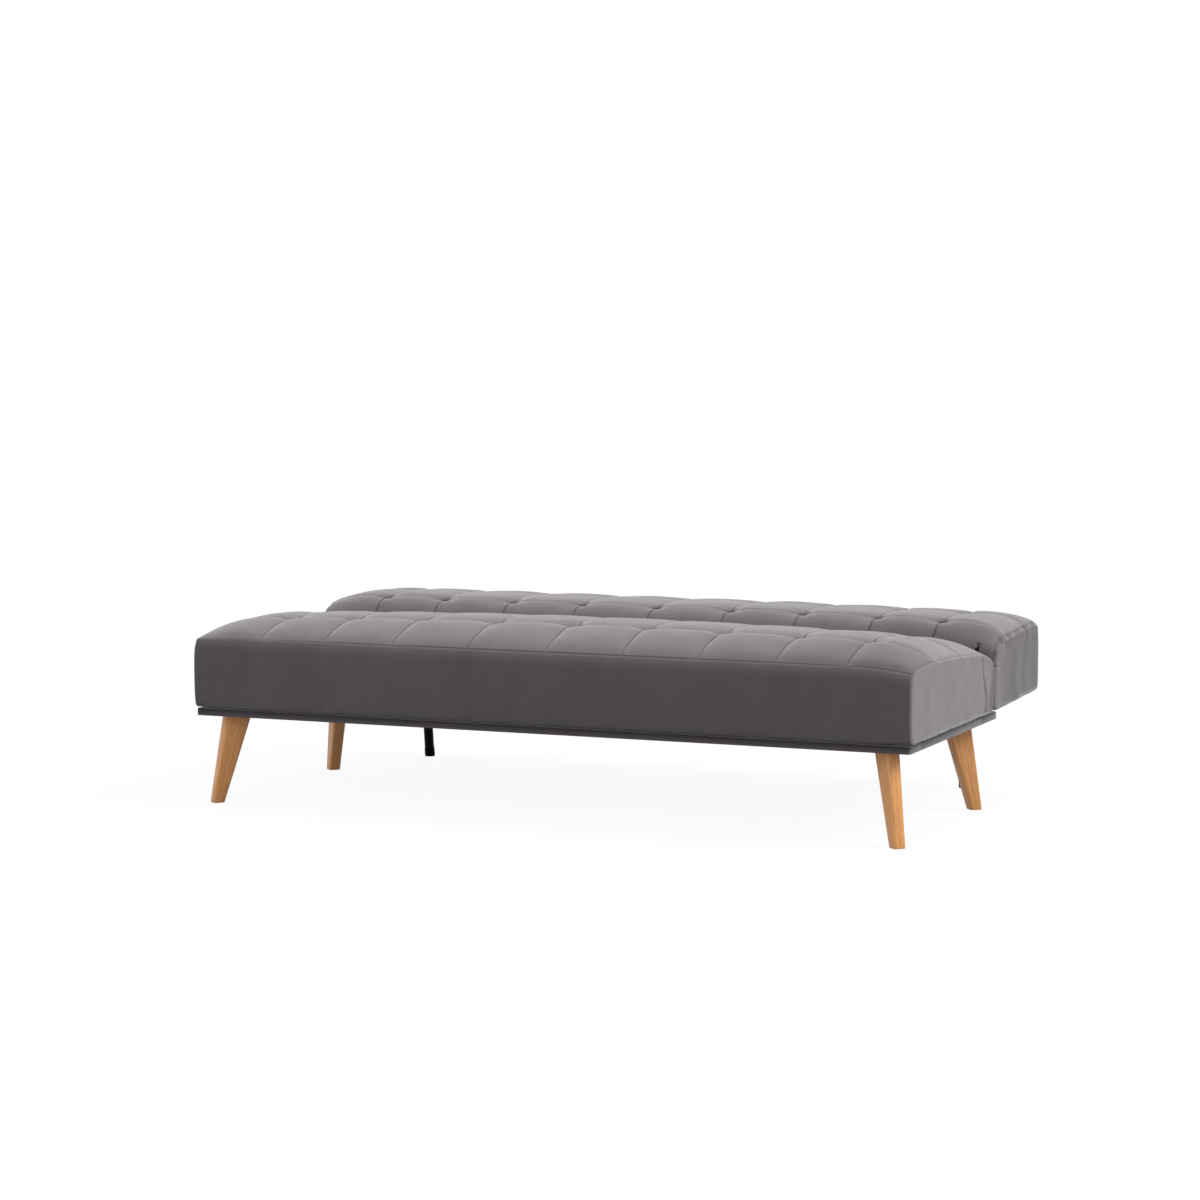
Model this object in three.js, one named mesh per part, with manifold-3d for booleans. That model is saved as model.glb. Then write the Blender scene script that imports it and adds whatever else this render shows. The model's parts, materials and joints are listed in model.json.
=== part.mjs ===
// Click clack sofa bed, folded flat as a bed: a tufted seat and a tufted backrest lie end to end
// on a low padded base with four splayed wooden legs. Each turns on the hinge pins at its ends,
// and two folding steel legs carry the backrest while it lies flat.
//
// Units are millimetres, +Z is up and the front faces -Y. Inside the sofa group, y is counted
// back from the front edge of the base. The group is then moved so that the origin lies on the
// floor under the middle of the whole outline.

import * as THREE from 'three';
import { mergeVertices } from 'three/addons/utils/BufferGeometryUtils.js';
import Module from 'manifold-3d';

const wasm = await Module();
wasm.setup();

// Driving dimensions
const SIDES = { left: -1, right: 1 };
const GAP = 0.3; // air between pieces that touch
const FRONT_TO_MIDDLE = 545; // base front edge to the middle of the outline

const BASE = {
  halfWidth: 905, depth: 694, bottom: 216, top: 233, railWidth: 80, rearRailWidth: 130,
  cornerRadius: 9, // plan corners
};
const CROSS_RAIL = { x: 300, width: 60 };
const CORNER_BLOCK = 90;
const LEG = {
  topX: 829, topInset: 67, footX: 867, footInset: 31,
  topWidth: 66, topThick: 34, footWidth: 30, footThick: 30, chamfer: 4,
};
const REAR_LEG = { topY: 606, footY: 640 };
const BOLT = { radius: 4, headRadius: 7, headHeight: 4, length: 52, play: 0.4 };
const BUMPER = { x: 600, y: 40, radius: 15, height: 3.4 };

// The hinge pins lie inside the front edge of the backrest, near both ends
const HINGE = { y: 715, z: 370 };
const PIN = { radius: 5, headRadius: 8, headHeight: 3, play: 0.4 };
const LEAF = { thick: 4, hubRadius: 14, inner: 846.5, middle: 851.5, outer: 856.5 };
const FLANGE = { outer: 885, front: 660, rear: 692, thick: 3 }; // foot of the base leaf
const HUB_ROOM = { from: 840, to: 869, radius: 18 }; // round the hubs and both pin heads

// Tufting: column seams every COLUMN across, and puffs that rise between the seams
const COLUMN = 187;
const LAST_SEAM = 4 * COLUMN;
const END_X = 905;
const END_BULGE = 909;
const STEPS = 4; // mesh steps in one puff
const TUFT = { puff: 15, dimple: 7 };

const BOARD = 25; // thickness of the frame rails in seat and backrest
const SEAT_FRAME = {
  bottom: 240.3, top: 290, front: 12, rear: 600, railX: 861, rearHalf: 856.2, crossX: 290,
};
const BACK_FRAME = {
  bottom: 250.3, top: 295, front: 715, rear: 1070, railX: 821, rearHalf: 820.7, crossX: 745,
};
const WEBBING = { width: 60, thick: 2, places: { left: -500, middle: 0, right: 500 } };
// The covers are open underneath, and a thin dust cover closes each opening
const SEAT_OPENING = { halfWidth: 840, front: 42, rear: 585, low: 238.2, high: 239.6 };
const BACK_OPENING = { halfWidth: 800, front: 745, rear: 1040, low: [241, 247.8], high: [242.4, 249.2] };
const EDGE = 1; // air between a dust cover's edge and its opening

// Folding steel leg under the backrest, on a pin between the ears of its bracket
const PROP = {
  x: 745, pivotY: 938, pivotZ: 222, footY: 970, radius: 12.5, wall: 1.5, above: 11,
  capRadius: 13.5, capHeight: 23, capSocket: 12.8, lift: 8,
};
const BRACKET = {
  plateHalf: 30, plateTop: 243.4, plateBottom: 240.4, earFrom: 13, earTo: 17, earHalf: 14, drop: 17,
};
const PROP_PIN = { radius: 4, play: 0.4, headRadius: 7, headHeight: 2.5 };

// Materials, one for each kind of stuff
const material = (color, roughness, metalness = 0) =>
  new THREE.MeshStandardMaterial({ color, roughness, metalness });
const velvet = () => material(0x6f6a6e, 0.9);
const foamRubber = () => material(0xd9d2b4, 0.95);
const legWood = () => material(0xb57f50, 0.5);
const frameWood = () => material(0xc9a77a, 0.8);
const blackSteel = () => material(0x121214, 0.4, 0.6);
const zincSteel = () => material(0x9a9c9f, 0.35, 0.9);
const rubber = () => material(0x161616, 0.9);
const webbing = () => material(0x2b2723, 0.9);
const liner = () => material(0x1c1c1e, 0.95);

// Solids: closed three.js geometry goes into the solid library to be joined or cut, and back
function toSolid(geometry) {
  const bare = geometry.clone();
  bare.deleteAttribute('normal');
  bare.deleteAttribute('uv');
  const merged = mergeVertices(bare, 1e-4);
  return new wasm.Manifold(new wasm.Mesh({
    numProp: 3,
    vertProperties: new Float32Array(merged.attributes.position.array),
    triVerts: new Uint32Array(merged.index.array),
  }));
}

function toGeometry(solid) {
  const { vertProperties, triVerts } = solid.getMesh();
  const geometry = new THREE.BufferGeometry();
  geometry.setAttribute('position', new THREE.BufferAttribute(vertProperties, 3));
  geometry.setIndex(new THREE.BufferAttribute(triVerts, 1));
  geometry.computeVertexNormals();
  return geometry;
}

const joined = (...shapes) => toGeometry(shapes.map(toSolid).reduce((sum, shape) => sum.add(shape)));
const cut = (shape, ...tools) =>
  toGeometry(tools.map(toSolid).reduce((rest, tool) => rest.subtract(tool), toSolid(shape)));
const common = (shape, other) => toGeometry(toSolid(shape).intersect(toSolid(other)));

// Simple shapes, placed by their limits
function block(x, y, z) {
  const box = new THREE.BoxGeometry(x[1] - x[0], y[1] - y[0], z[1] - z[0]);
  return box.translate((x[0] + x[1]) / 2, (y[0] + y[1]) / 2, (z[0] + z[1]) / 2);
}

const span = (side, from, to) => (side > 0 ? [from, to] : [-to, -from]);
const outline = (points) => new THREE.Shape(points.map(([a, b]) => new THREE.Vector2(a, b)));

// A plate whose outline is given in (y, z), between two limits in x
function plateAcrossX(points, x) {
  const plate = new THREE.ExtrudeGeometry(outline(points), { depth: x[1] - x[0], bevelEnabled: false });
  const back = new THREE.Vector3(0, 1, 0);
  const up = new THREE.Vector3(0, 0, 1);
  const right = new THREE.Vector3(1, 0, 0);
  return plate.applyMatrix4(new THREE.Matrix4().makeBasis(back, up, right)).translate(x[0], 0, 0);
}

// A plate whose outline is given in (x, y), between two limits in z
const plateAcrossZ = (points, z) =>
  new THREE.ExtrudeGeometry(outline(points), { depth: z[1] - z[0], bevelEnabled: false })
    .translate(0, 0, z[0]);

const rodAlongX = (radius, x, y, z, sides = 24) =>
  new THREE.CylinderGeometry(radius, radius, x[1] - x[0], sides)
    .rotateZ(Math.PI / 2).translate((x[0] + x[1]) / 2, y, z);
const rodAlongZ = (radius, x, y, z, sides = 16) =>
  new THREE.CylinderGeometry(radius, radius, z[1] - z[0], sides)
    .rotateX(Math.PI / 2).translate(x, y, (z[0] + z[1]) / 2);

const sofa = new THREE.Group();
sofa.position.y = -FRONT_TO_MIDDLE;

function add(name, geometry, finish) {
  const piece = new THREE.Mesh(geometry, finish);
  piece.name = name;
  sofa.add(piece);
}

// Base: flat boards wrapped in velvet, four corner blocks and two cross rails
function legPlaces() {
  return Object.entries(SIDES).flatMap(([side, sign]) => [
    { name: `front_${side}`, sign, end: -1, top: LEG.topInset, foot: LEG.footInset },
    { name: `rear_${side}`, sign, end: 1, top: REAR_LEG.topY, foot: REAR_LEG.footY },
  ]);
}

function roundedRail(y, end) {
  const { halfWidth: w, cornerRadius: r } = BASE;
  const [near, far] = end < 0 ? [y[1], y[0]] : [y[0], y[1]];
  const shape = new THREE.Shape();
  shape.moveTo(-w, near);
  shape.lineTo(-w, far - end * r);
  shape.quadraticCurveTo(-w, far, -w + r, far);
  shape.lineTo(w - r, far);
  shape.quadraticCurveTo(w, far, w, far - end * r);
  shape.lineTo(w, near);
  const depth = BASE.top - BASE.bottom;
  return new THREE.ExtrudeGeometry(shape, { depth, bevelEnabled: false, curveSegments: 4 })
    .translate(0, 0, BASE.bottom);
}

// Each leg bolt runs down through the rail, and its head is sunk into the top
function boltHoles(end) {
  return legPlaces().filter((place) => place.end === end).flatMap(({ sign, top }) => {
    const sunk = [BASE.top - BOLT.headHeight - GAP, BASE.top + 1];
    return [
      rodAlongZ(BOLT.radius + BOLT.play, sign * LEG.topX, top, [BASE.bottom - 1, BASE.top + 1]),
      rodAlongZ(BOLT.headRadius + 1, sign * LEG.topX, top, sunk),
    ];
  });
}

// The base leaf of each hinge is let into the top of the rear rail
const leafFlange = (sign, play = 0) => block(
  span(sign, LEAF.middle - play, FLANGE.outer + play),
  [FLANGE.front - play, FLANGE.rear + play],
  [BASE.top - FLANGE.thick - play, BASE.top + play],
);

function makeBase() {
  const { halfWidth: w, depth, bottom, top, railWidth, rearRailWidth } = BASE;
  const z = [bottom, top];
  add('base_front_rail', cut(roundedRail([0, railWidth], -1), ...boltHoles(-1)), velvet());
  const flanges = Object.values(SIDES).map((sign) => leafFlange(sign, GAP));
  const rear = roundedRail([depth - rearRailWidth, depth], 1);
  add('base_rear_rail', cut(rear, ...boltHoles(1), ...flanges), velvet());
  const between = [railWidth + GAP, depth - rearRailWidth - GAP];
  for (const [side, sign] of Object.entries(SIDES)) {
    add(`base_${side}_rail`, block(span(sign, w - railWidth, w), between, z), velvet());
    const cross = span(sign, CROSS_RAIL.x - CROSS_RAIL.width / 2, CROSS_RAIL.x + CROSS_RAIL.width / 2);
    add(`base_cross_rail_${side}`, block(cross, between, z), frameWood());
  }
  for (const { name, sign, end } of legPlaces()) {
    const x = sign * (w - railWidth - GAP);
    const y = end < 0 ? between[0] : between[1];
    const points = [[x, y], [x - sign * CORNER_BLOCK, y], [x, y - end * CORNER_BLOCK]];
    if (sign * end < 0) points.reverse();
    add(`corner_block_${name}`, plateAcrossZ(points, z), frameWood());
  }
  for (const [side, sign] of Object.entries(SIDES)) {
    const pad = [top + GAP, top + GAP + BUMPER.height];
    add(`seat_bumper_${side}`, rodAlongZ(BUMPER.radius, sign * BUMPER.x, BUMPER.y, pad), rubber());
  }
}

// Legs: tapered boards with chamfered edges, set diagonally and splayed outwards
function makeLegs() {
  const c = LEG.chamfer;
  const section = (w, t) => [
    [w - c, -t], [w, c - t], [w, t - c], [w - c, t], [c - w, t], [-w, t - c], [-w, c - t], [c - w, -t],
  ];
  const topRing = section(LEG.topWidth / 2, LEG.topThick / 2);
  const footRing = section(LEG.footWidth / 2, LEG.footThick / 2);
  for (const { name, sign, end, top, foot } of legPlaces()) {
    const splay = new THREE.Vector2(sign, end).normalize();
    const placed = (ring, x, y, z) => ring.map(([along, across]) => [
      x + along * splay.x - across * splay.y, y + along * splay.y + across * splay.x, z]);
    const rings = [
      placed(footRing, sign * LEG.footX, foot, 0),
      placed(topRing, sign * LEG.topX, top, BASE.bottom - GAP),
    ];
    const depth = [BASE.top - BOLT.length - 3, BASE.bottom + 1];
    const bore = rodAlongZ(BOLT.radius + BOLT.play, sign * LEG.topX, top, depth);
    add(`leg_${name}`, cut(skin(rings), bore), legWood());
    const headTop = BASE.top - GAP;
    const neck = headTop - BOLT.headHeight;
    const head = rodAlongZ(BOLT.headRadius, sign * LEG.topX, top, [neck, headTop]);
    const shank = rodAlongZ(BOLT.radius, sign * LEG.topX, top, [BASE.top - BOLT.length, neck + 1]);
    add(`leg_bolt_${name}`, joined(head, shank), zincSteel());
  }
}

const centre = (ring) =>
  [0, 1, 2].map((axis) => ring.reduce((sum, point) => sum + point[axis], 0) / ring.length);

// A closed skin through rings of equally many points, with both ends closed by a fan
function skin(rings, startPoint = centre(rings[0]), endPoint = centre(rings.at(-1))) {
  const count = rings[0].length;
  const points = [...rings.flat(), startPoint, endPoint];
  const start = points.length - 2;
  const faces = [];
  for (let i = 0; i < count; i += 1) {
    const next = (i + 1) % count;
    faces.push([start, next, i]);
    for (let ring = 0; ring + 1 < rings.length; ring += 1) {
      const [low, high] = [ring * count, (ring + 1) * count];
      faces.push([low + i, low + next, high + next], [low + i, high + next, high + i]);
    }
    const last = (rings.length - 1) * count;
    faces.push([start + 1, last + i, last + next]);
  }
  const geometry = new THREE.BufferGeometry();
  geometry.setAttribute('position', new THREE.Float32BufferAttribute(points.flat(), 3));
  geometry.setIndex(faces.flat());
  return geometry;
}

// Cushion sections, listed as [middle y, middle z, end y, end z]. Each part of the outline is a
// short list: the puffed rows run from seam to seam, and the plain stretches join them. The top
// is crown higher in the middle than near the ends. Past the last seam it slopes down evenly
// where slope is 1, and stays full up to the end where slope is 0.
const SEAT_SECTION = {
  crown: 9,
  slope: 1,
  front: [[3, 238, 6, 239], [-2, 262, -1, 264], [-5, 320, -3, 320], [-4, 368, -2, 362]],
  rows: [
    [[0, 405, 3, 393], [38, 432, 45, 396], [88, 443, 92, 398], [138, 446, 138, 398], [185, 447, 185, 397]],
    [[185, 447, 185, 397], [235, 448, 235, 396], [285, 448, 285, 396], [335, 446, 335, 394],
      [385, 443, 385, 391]],
    [[385, 443, 385, 391], [450, 436, 450, 388], [515, 426, 515, 384], [572, 410, 572, 378],
      [621, 389, 618, 369], [656, 365, 650, 360], [678.5, 343, 668, 347]],
  ],
  rear: [[679.5, 332, 671, 330], [675, 312, 670, 308], [669, 283, 666, 282], [662, 254, 660, 255],
    [655, 237, 652, 239]],
  bottom: [[300, 237, 300, 238]],
};
const BACK_SECTION = {
  crown: 0,
  slope: 0.1,
  front: [[686, 238.6, 690, 238.6], [667.5, 244.5, 678, 245], [678.5, 292, 684, 292]],
  rows: [
    [[691, 345, 684, 345], [700, 373, 693, 371], [714, 399, 700, 388], [733, 420.5, 727, 397],
      [755, 439.5, 755, 402]],
    [[755, 439.5, 755, 402], [804, 440.5, 804, 405], [853, 441, 853, 408], [902, 441, 902, 410],
      [952, 438, 952, 411]],
    [[952, 438, 952, 411], [983, 440, 983, 414], [1016, 437, 1014, 417], [1048, 424, 1046, 418],
      [1074, 400, 1074, 407]],
  ],
  rear: [[1089, 366, 1080, 366], [1095, 322, 1080, 322], [1094, 284, 1080, 284],
    [1084, 255, 1076, 255], [1068, 248, 1062, 248]],
  bottom: [[880, 243.4, 880, 243.4]],
};

// Outline points of one section: each holds the middle and end place and how much it is puffed
function sectionPoints(section) {
  const plain = (list) => list.map((place) => ({ place, puff: 0, seam: 0 }));
  const rows = section.rows.flatMap((row, index) => {
    const last = index === section.rows.length - 1 ? row.length : row.length - 1;
    return row.slice(0, last).map((place, step) => {
      const phase = step / (row.length - 1);
      const edge = (index === 0 && step === 0) || step === row.length - 1;
      return { place, puff: Math.sin(Math.PI * phase), seam: step === 0 && !edge ? 1 : 0 };
    });
  });
  return [...plain(section.front), ...rows, ...plain(section.rear), ...plain(section.bottom)];
}

// Stations across the cushion: every quarter of a puff, from one end to the other
function stations() {
  const places = [];
  for (let cell = -5; cell < 5; cell += 1) {
    const from = Math.max(cell * COLUMN, -END_X);
    const to = Math.min((cell + 1) * COLUMN, END_X);
    for (let step = 0; step < STEPS; step += 1) {
      const x = from + ((to - from) * step) / STEPS;
      places.push({ x, phase: step / STEPS, end: x === -END_X });
    }
  }
  places.push({ x: END_X, phase: 0, end: true });
  return places;
}

function sectionRing({ crown, slope }, points, { x, phase, end }) {
  const past = Math.max(0, (Math.abs(x) - LAST_SEAM) / (END_X - LAST_SEAM));
  const fade = slope * past ** 2 + (1 - slope) * past ** 8;
  const turn = past ** 4; // the plan turns its corner late
  const column = end ? 0 : Math.sin(Math.PI * phase);
  const base = points.map(({ place: [my, mz, ey, ez] }) => [my + (ey - my) * turn, mz + (ez - mz) * fade]);
  const sink = crown * (Math.min(Math.abs(x), LAST_SEAM) / LAST_SEAM) ** 2 * (1 - fade);
  return points.map(({ puff, seam }, i) => {
    const before = base[(i + base.length - 1) % base.length];
    const after = base[(i + 1) % base.length];
    const along = Math.hypot(after[0] - before[0], after[1] - before[1]);
    const normal = [(before[1] - after[1]) / along, (after[0] - before[0]) / along];
    const onTop = puff > 0.01 || seam;
    const dimple = seam && phase === 0 && !end ? TUFT.dimple : 0;
    const rise = TUFT.puff * Math.sqrt(puff * column) * (1 - fade / 2) - dimple - (onTop ? sink : 0);
    return [x, base[i][0] + normal[0] * rise, base[i][1] + normal[1] * rise];
  });
}

// The end panels swell a little past the seam that runs round them
function swollenEnd(ring, sign) {
  const middle = centre(ring);
  const inwards = 0.3;
  const out = END_X + 0.8 * (END_BULGE - END_X);
  const panel = ring.map(([, y, z]) => [
    sign * out, y + (middle[1] - y) * inwards, z + (middle[2] - z) * inwards]);
  return { panel, tip: [sign * END_BULGE, middle[1], middle[2]] };
}

function cushion(section) {
  const points = sectionPoints(section);
  const rings = stations().map((station) => sectionRing(section, points, station));
  const left = swollenEnd(rings[0], -1);
  const right = swollenEnd(rings.at(-1), 1);
  return skin([right.panel, ...rings.reverse(), left.panel], right.tip, left.tip);
}

// Foam blocks, shaped along y by a side profile, sloped down at both ends, with two corners off.
// A block grown by the gap cuts the room for itself in its cover.
function foamBlock({ profile, halfWidth, shoulder, sink, corner }, grow = 0) {
  const heights = profile.map(([, z]) => z);
  const [low, top] = [Math.min(...heights), Math.max(...heights)];
  const middle = profile.reduce((sum, [y]) => sum + y, 0) / profile.length;
  const wide = halfWidth + grow;
  const grown = profile.map(([y, z]) => [y + Math.sign(y - middle) * grow, z > low ? z + grow : z - grow]);
  const long = plateAcrossX(grown, [-wide, wide]);
  const below = low - 100;
  const ends = [
    [-wide, below], [wide, below], [wide, top - sink + grow],
    [shoulder, top + grow], [-shoulder, top + grow], [-wide, top - sink + grow],
  ];
  const across = new THREE.ExtrudeGeometry(outline(ends), { depth: 2 * BASE.depth, bevelEnabled: false })
    .rotateX(Math.PI / 2).translate(0, 2 * BASE.depth, 0);
  const near = corner.y + Math.sign(corner.cut) * grow;
  const far = near + corner.cut;
  const away = (sign) => {
    const points = [[sign * (wide + 1), near], [sign * (wide + 1), far], [sign * (wide - corner.x), far]];
    if (sign * corner.cut < 0) points.reverse();
    return plateAcrossZ(points, [below, top + 100]);
  };
  return cut(common(long, across), away(1), away(-1));
}

const SEAT_FOAM = {
  profile: [[13, 292.9], [655, 292.9], [657, 312], [648, 346], [600, 376], [520, 402], [400, 415],
    [40, 415], [13, 392]],
  halfWidth: 884, shoulder: 815, sink: 42, corner: { x: 66, y: 590, cut: 70 },
};
const BACK_FOAM = {
  profile: [[702, 297.9], [1078, 297.9], [1078, 360], [1056, 398], [1028, 412], [765, 412], [735, 392],
    [716, 360]],
  halfWidth: 880, shoulder: 815, sink: 28, corner: { x: 20, y: 740, cut: -40 },
};

const frameRoom = ({ bottom, top, front, rear, railX }) =>
  block([-railX - BOARD - GAP, railX + BOARD + GAP], [front - GAP, rear + GAP], [bottom - GAP, top + 10]);

// Hinges: three leaves side by side on one pin, from the inside out back, base and seat
const BACK_ARM = [[724, 381], [760, 330], [800, 292], [850, 292], [850, 253], [742, 253], [712, 330],
  [705, 360]];
const SEAT_ARM = [[702, 375], [688, 346], [645, 312], [600, 286], [510, 286], [510, 246], [620, 246],
  [662, 282], [706, 330], [726, 360]];
const BASE_ARM = [[702, 375], [668, BASE.top], [668, BASE.top - FLANGE.thick],
  [FLANGE.rear, BASE.top - FLANGE.thick], [FLANGE.rear, BASE.top], [728, 364]];

// Room for the leaves, cut out of the covers and the foam. Under the hub both the base leaf and
// the seat leaf pass through the front of the backrest, and above it only the seat leaf does.
const LOW_SLOT = {
  from: 850,
  to: 862.3,
  outline: [[640, 225], [703, 225], [733, 366], [729, 386], [640, 386]],
};
const HIGH_SLOT = {
  from: 855.7,
  to: 862.3,
  outline: [[640, 380], [728, 380], [727, 386], [716, 388], [700, 393.5], [688, 399], [640, 451]],
};
const BACK_ARM_SLOT = [[724, 389], [768, 334], [803, 298], [858, 298], [858, 249], [735, 249],
  [703, 330], [698, 366]];
const SEAT_ARM_SLOT = [[600, 242], [624, 242], [666, 277], [708, 322], [708, 368], [688, 352],
  [643, 317], [600, 292]];

const leaf = (arm, x) => cut(
  joined(rodAlongX(LEAF.hubRadius, x, HINGE.y, HINGE.z), plateAcrossX([...arm].reverse(), x)),
  rodAlongX(PIN.radius + PIN.play, [x[0] - 1, x[1] + 1], HINGE.y, HINGE.z));

function makeHinges() {
  for (const [side, sign] of Object.entries(SIDES)) {
    const place = (from) => span(sign, from, from + LEAF.thick);
    add(`back_hinge_leaf_${side}`, leaf(BACK_ARM, place(LEAF.inner)), blackSteel());
    add(`seat_hinge_leaf_${side}`, leaf(SEAT_ARM, place(LEAF.outer)), blackSteel());
    const baseLeaf = joined(leaf(BASE_ARM, place(LEAF.middle)), leafFlange(sign));
    add(`base_hinge_leaf_${side}`, baseLeaf, blackSteel());
    const inside = LEAF.inner - GAP;
    const outside = LEAF.outer + LEAF.thick + GAP;
    add(`hinge_pin_${side}`, joined(
      rodAlongX(PIN.headRadius, span(sign, inside - PIN.headHeight, inside), HINGE.y, HINGE.z),
      rodAlongX(PIN.radius, span(sign, inside - 1, outside + 1), HINGE.y, HINGE.z),
      rodAlongX(PIN.headRadius, span(sign, outside, outside + PIN.headHeight), HINGE.y, HINGE.z),
    ), zincSteel());
  }
}

function backSlots() {
  return Object.values(SIDES).flatMap((sign) => [
    plateAcrossX(LOW_SLOT.outline, span(sign, LOW_SLOT.from, LOW_SLOT.to)),
    plateAcrossX(HIGH_SLOT.outline, span(sign, HIGH_SLOT.from, HIGH_SLOT.to)),
    rodAlongX(HUB_ROOM.radius, span(sign, HUB_ROOM.from, HUB_ROOM.to), HINGE.y, HINGE.z),
    plateAcrossX([...BACK_ARM_SLOT].reverse(), span(sign, LEAF.inner - GAP, LEAF.inner + LEAF.thick + GAP)),
  ]);
}

const seatSlots = () => Object.values(SIDES).map((sign) =>
  plateAcrossX(SEAT_ARM_SLOT, span(sign, LEAF.outer - 1, LEAF.outer + LEAF.thick + 1)));

// Seat and backrest share one build-up: rails, cross bars, webbing, foam, tufted cover, liner
function makeFrame(name, frame) {
  const z = [frame.bottom, frame.top];
  const frontHalf = frame.railX - GAP;
  const front = [frame.front, frame.front + BOARD];
  const rear = [frame.rear - BOARD, frame.rear];
  const between = [front[1] + GAP, rear[0] - GAP];
  add(`${name}_frame_front`, block([-frontHalf, frontHalf], front, z), frameWood());
  add(`${name}_frame_rear`, block([-frame.rearHalf, frame.rearHalf], rear, z), frameWood());
  for (const [side, sign] of Object.entries(SIDES)) {
    const end = span(sign, frame.railX, frame.railX + BOARD);
    const bar = span(sign, frame.crossX - BOARD, frame.crossX + BOARD);
    add(`${name}_frame_${side}`, block(end, [frame.front, frame.rear], z), frameWood());
    add(`${name}_cross_bar_${side}`, block(bar, between, [z[0], z[0] + BOARD]), frameWood());
  }
  const strapZ = [frame.top + GAP, frame.top + GAP + WEBBING.thick];
  for (const [place, x] of Object.entries(WEBBING.places)) {
    const strap = [x - WEBBING.width / 2, x + WEBBING.width / 2];
    add(`${name}_webbing_${place}`, block(strap, [frame.front, frame.rear], strapZ), webbing());
  }
}

function makeSeat() {
  makeFrame('seat', SEAT_FRAME);
  const { halfWidth, front, rear, low, high } = SEAT_OPENING;
  const room = foamBlock(SEAT_FOAM, GAP);
  const opening = block([-halfWidth, halfWidth], [front, rear], [low - 8, high + 5]);
  const shell = cut(cushion(SEAT_SECTION), room, frameRoom(SEAT_FRAME), opening, ...seatSlots());
  add('seat_cover', shell, velvet());
  add('seat_foam', cut(foamBlock(SEAT_FOAM), ...seatSlots()), foamRubber());
  const across = [EDGE - halfWidth, halfWidth - EDGE];
  add('seat_dust_cover', block(across, [front + EDGE, rear - EDGE], [low, high]), liner());
}

function makeBack() {
  makeFrame('back', BACK_FRAME);
  const { halfWidth, front, rear, low, high } = BACK_OPENING;
  const room = foamBlock(BACK_FOAM, GAP);
  const opening = block([-halfWidth, halfWidth], [front, rear], [low[0] - 11, high[1] + 6]);
  const shell = cut(cushion(BACK_SECTION), room, frameRoom(BACK_FRAME), opening, ...backSlots());
  add('back_cover', shell, velvet());
  add('back_foam', cut(foamBlock(BACK_FOAM), ...backSlots()), foamRubber());
  const [near, far] = [front + EDGE, rear - EDGE];
  const sheet = [[near, low[0]], [far, low[1]], [far, high[1]], [near, high[0]]];
  add('back_dust_cover', plateAcrossX(sheet, [EDGE - halfWidth, halfWidth - EDGE]), liner());
}

// Folding legs: a steel tube with a rubber foot, on a pin in a bracket under the backrest
function makeProps() {
  const { pivotY, pivotZ, footY, lift } = PROP;
  const { plateHalf, plateTop, plateBottom, earFrom, earTo, earHalf, drop } = BRACKET;
  const lean = Math.atan2(footY - pivotY, pivotZ);
  const length = Math.hypot(footY - pivotY, pivotZ);
  const end = lift - length;
  for (const [side, sign] of Object.entries(SIDES)) {
    const x = sign * PROP.x;
    const tube = (radius, from, to) =>
      rodAlongZ(radius, 0, 0, [from, to], 24).rotateX(lean).translate(x, pivotY, pivotZ);
    const through = [x - 2 * earTo, x + 2 * earTo];
    const pinHole = rodAlongX(PROP_PIN.radius + PROP_PIN.play, through, pivotY, pivotZ);

    const bore = tube(PROP.radius - PROP.wall, end - 5, PROP.above + 5);
    add(`support_leg_tube_${side}`, cut(tube(PROP.radius, end, PROP.above), bore, pinHole), blackSteel());

    const floor = block([x - 60, x + 60], [footY - 80, footY + 80], [-60, 0]);
    const socket = tube(PROP.capSocket, end - GAP, 0);
    const cap = tube(PROP.capRadius, -length - 10, PROP.capHeight - length);
    add(`support_leg_foot_${side}`, cut(cap, socket, floor), rubber());

    const earY = [pivotY - earHalf, pivotY + earHalf];
    const ear = (from, to) => block([x + from, x + to], earY, [pivotZ - drop, plateBottom + 1]);
    const plateY = [pivotY - plateHalf, pivotY + plateHalf];
    const plate = block([x - plateHalf, x + plateHalf], plateY, [plateBottom, plateTop]);
    const bracket = cut(joined(plate, ear(earFrom, earTo), ear(-earTo, -earFrom)), pinHole);
    add(`support_bracket_${side}`, bracket, blackSteel());

    const inner = earTo + GAP;
    const outer = inner + PROP_PIN.headHeight;
    add(`support_pin_${side}`, joined(
      rodAlongX(PROP_PIN.headRadius, [x - outer, x - inner], pivotY, pivotZ),
      rodAlongX(PROP_PIN.radius, [x - inner - 1, x + inner + 1], pivotY, pivotZ),
      rodAlongX(PROP_PIN.headRadius, [x + inner, x + outer], pivotY, pivotZ),
    ), zincSteel());
  }
}

makeBase();
makeLegs();
makeSeat();
makeBack();
makeHinges();
makeProps();

export default sofa;
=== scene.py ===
"""Click clack sofa bed, dressed: tufted velvet covers, padded base, splayed wooden legs, steel props."""

import json
import math
from contextlib import contextmanager

import bmesh
import bpy
import numpy as np
from bpy.props import FloatProperty, FloatVectorProperty, IntProperty, PointerProperty
from mathutils import Matrix, Vector
from mathutils.geometry import delaunay_2d_cdt
from mathutils.kdtree import KDTree


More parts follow.
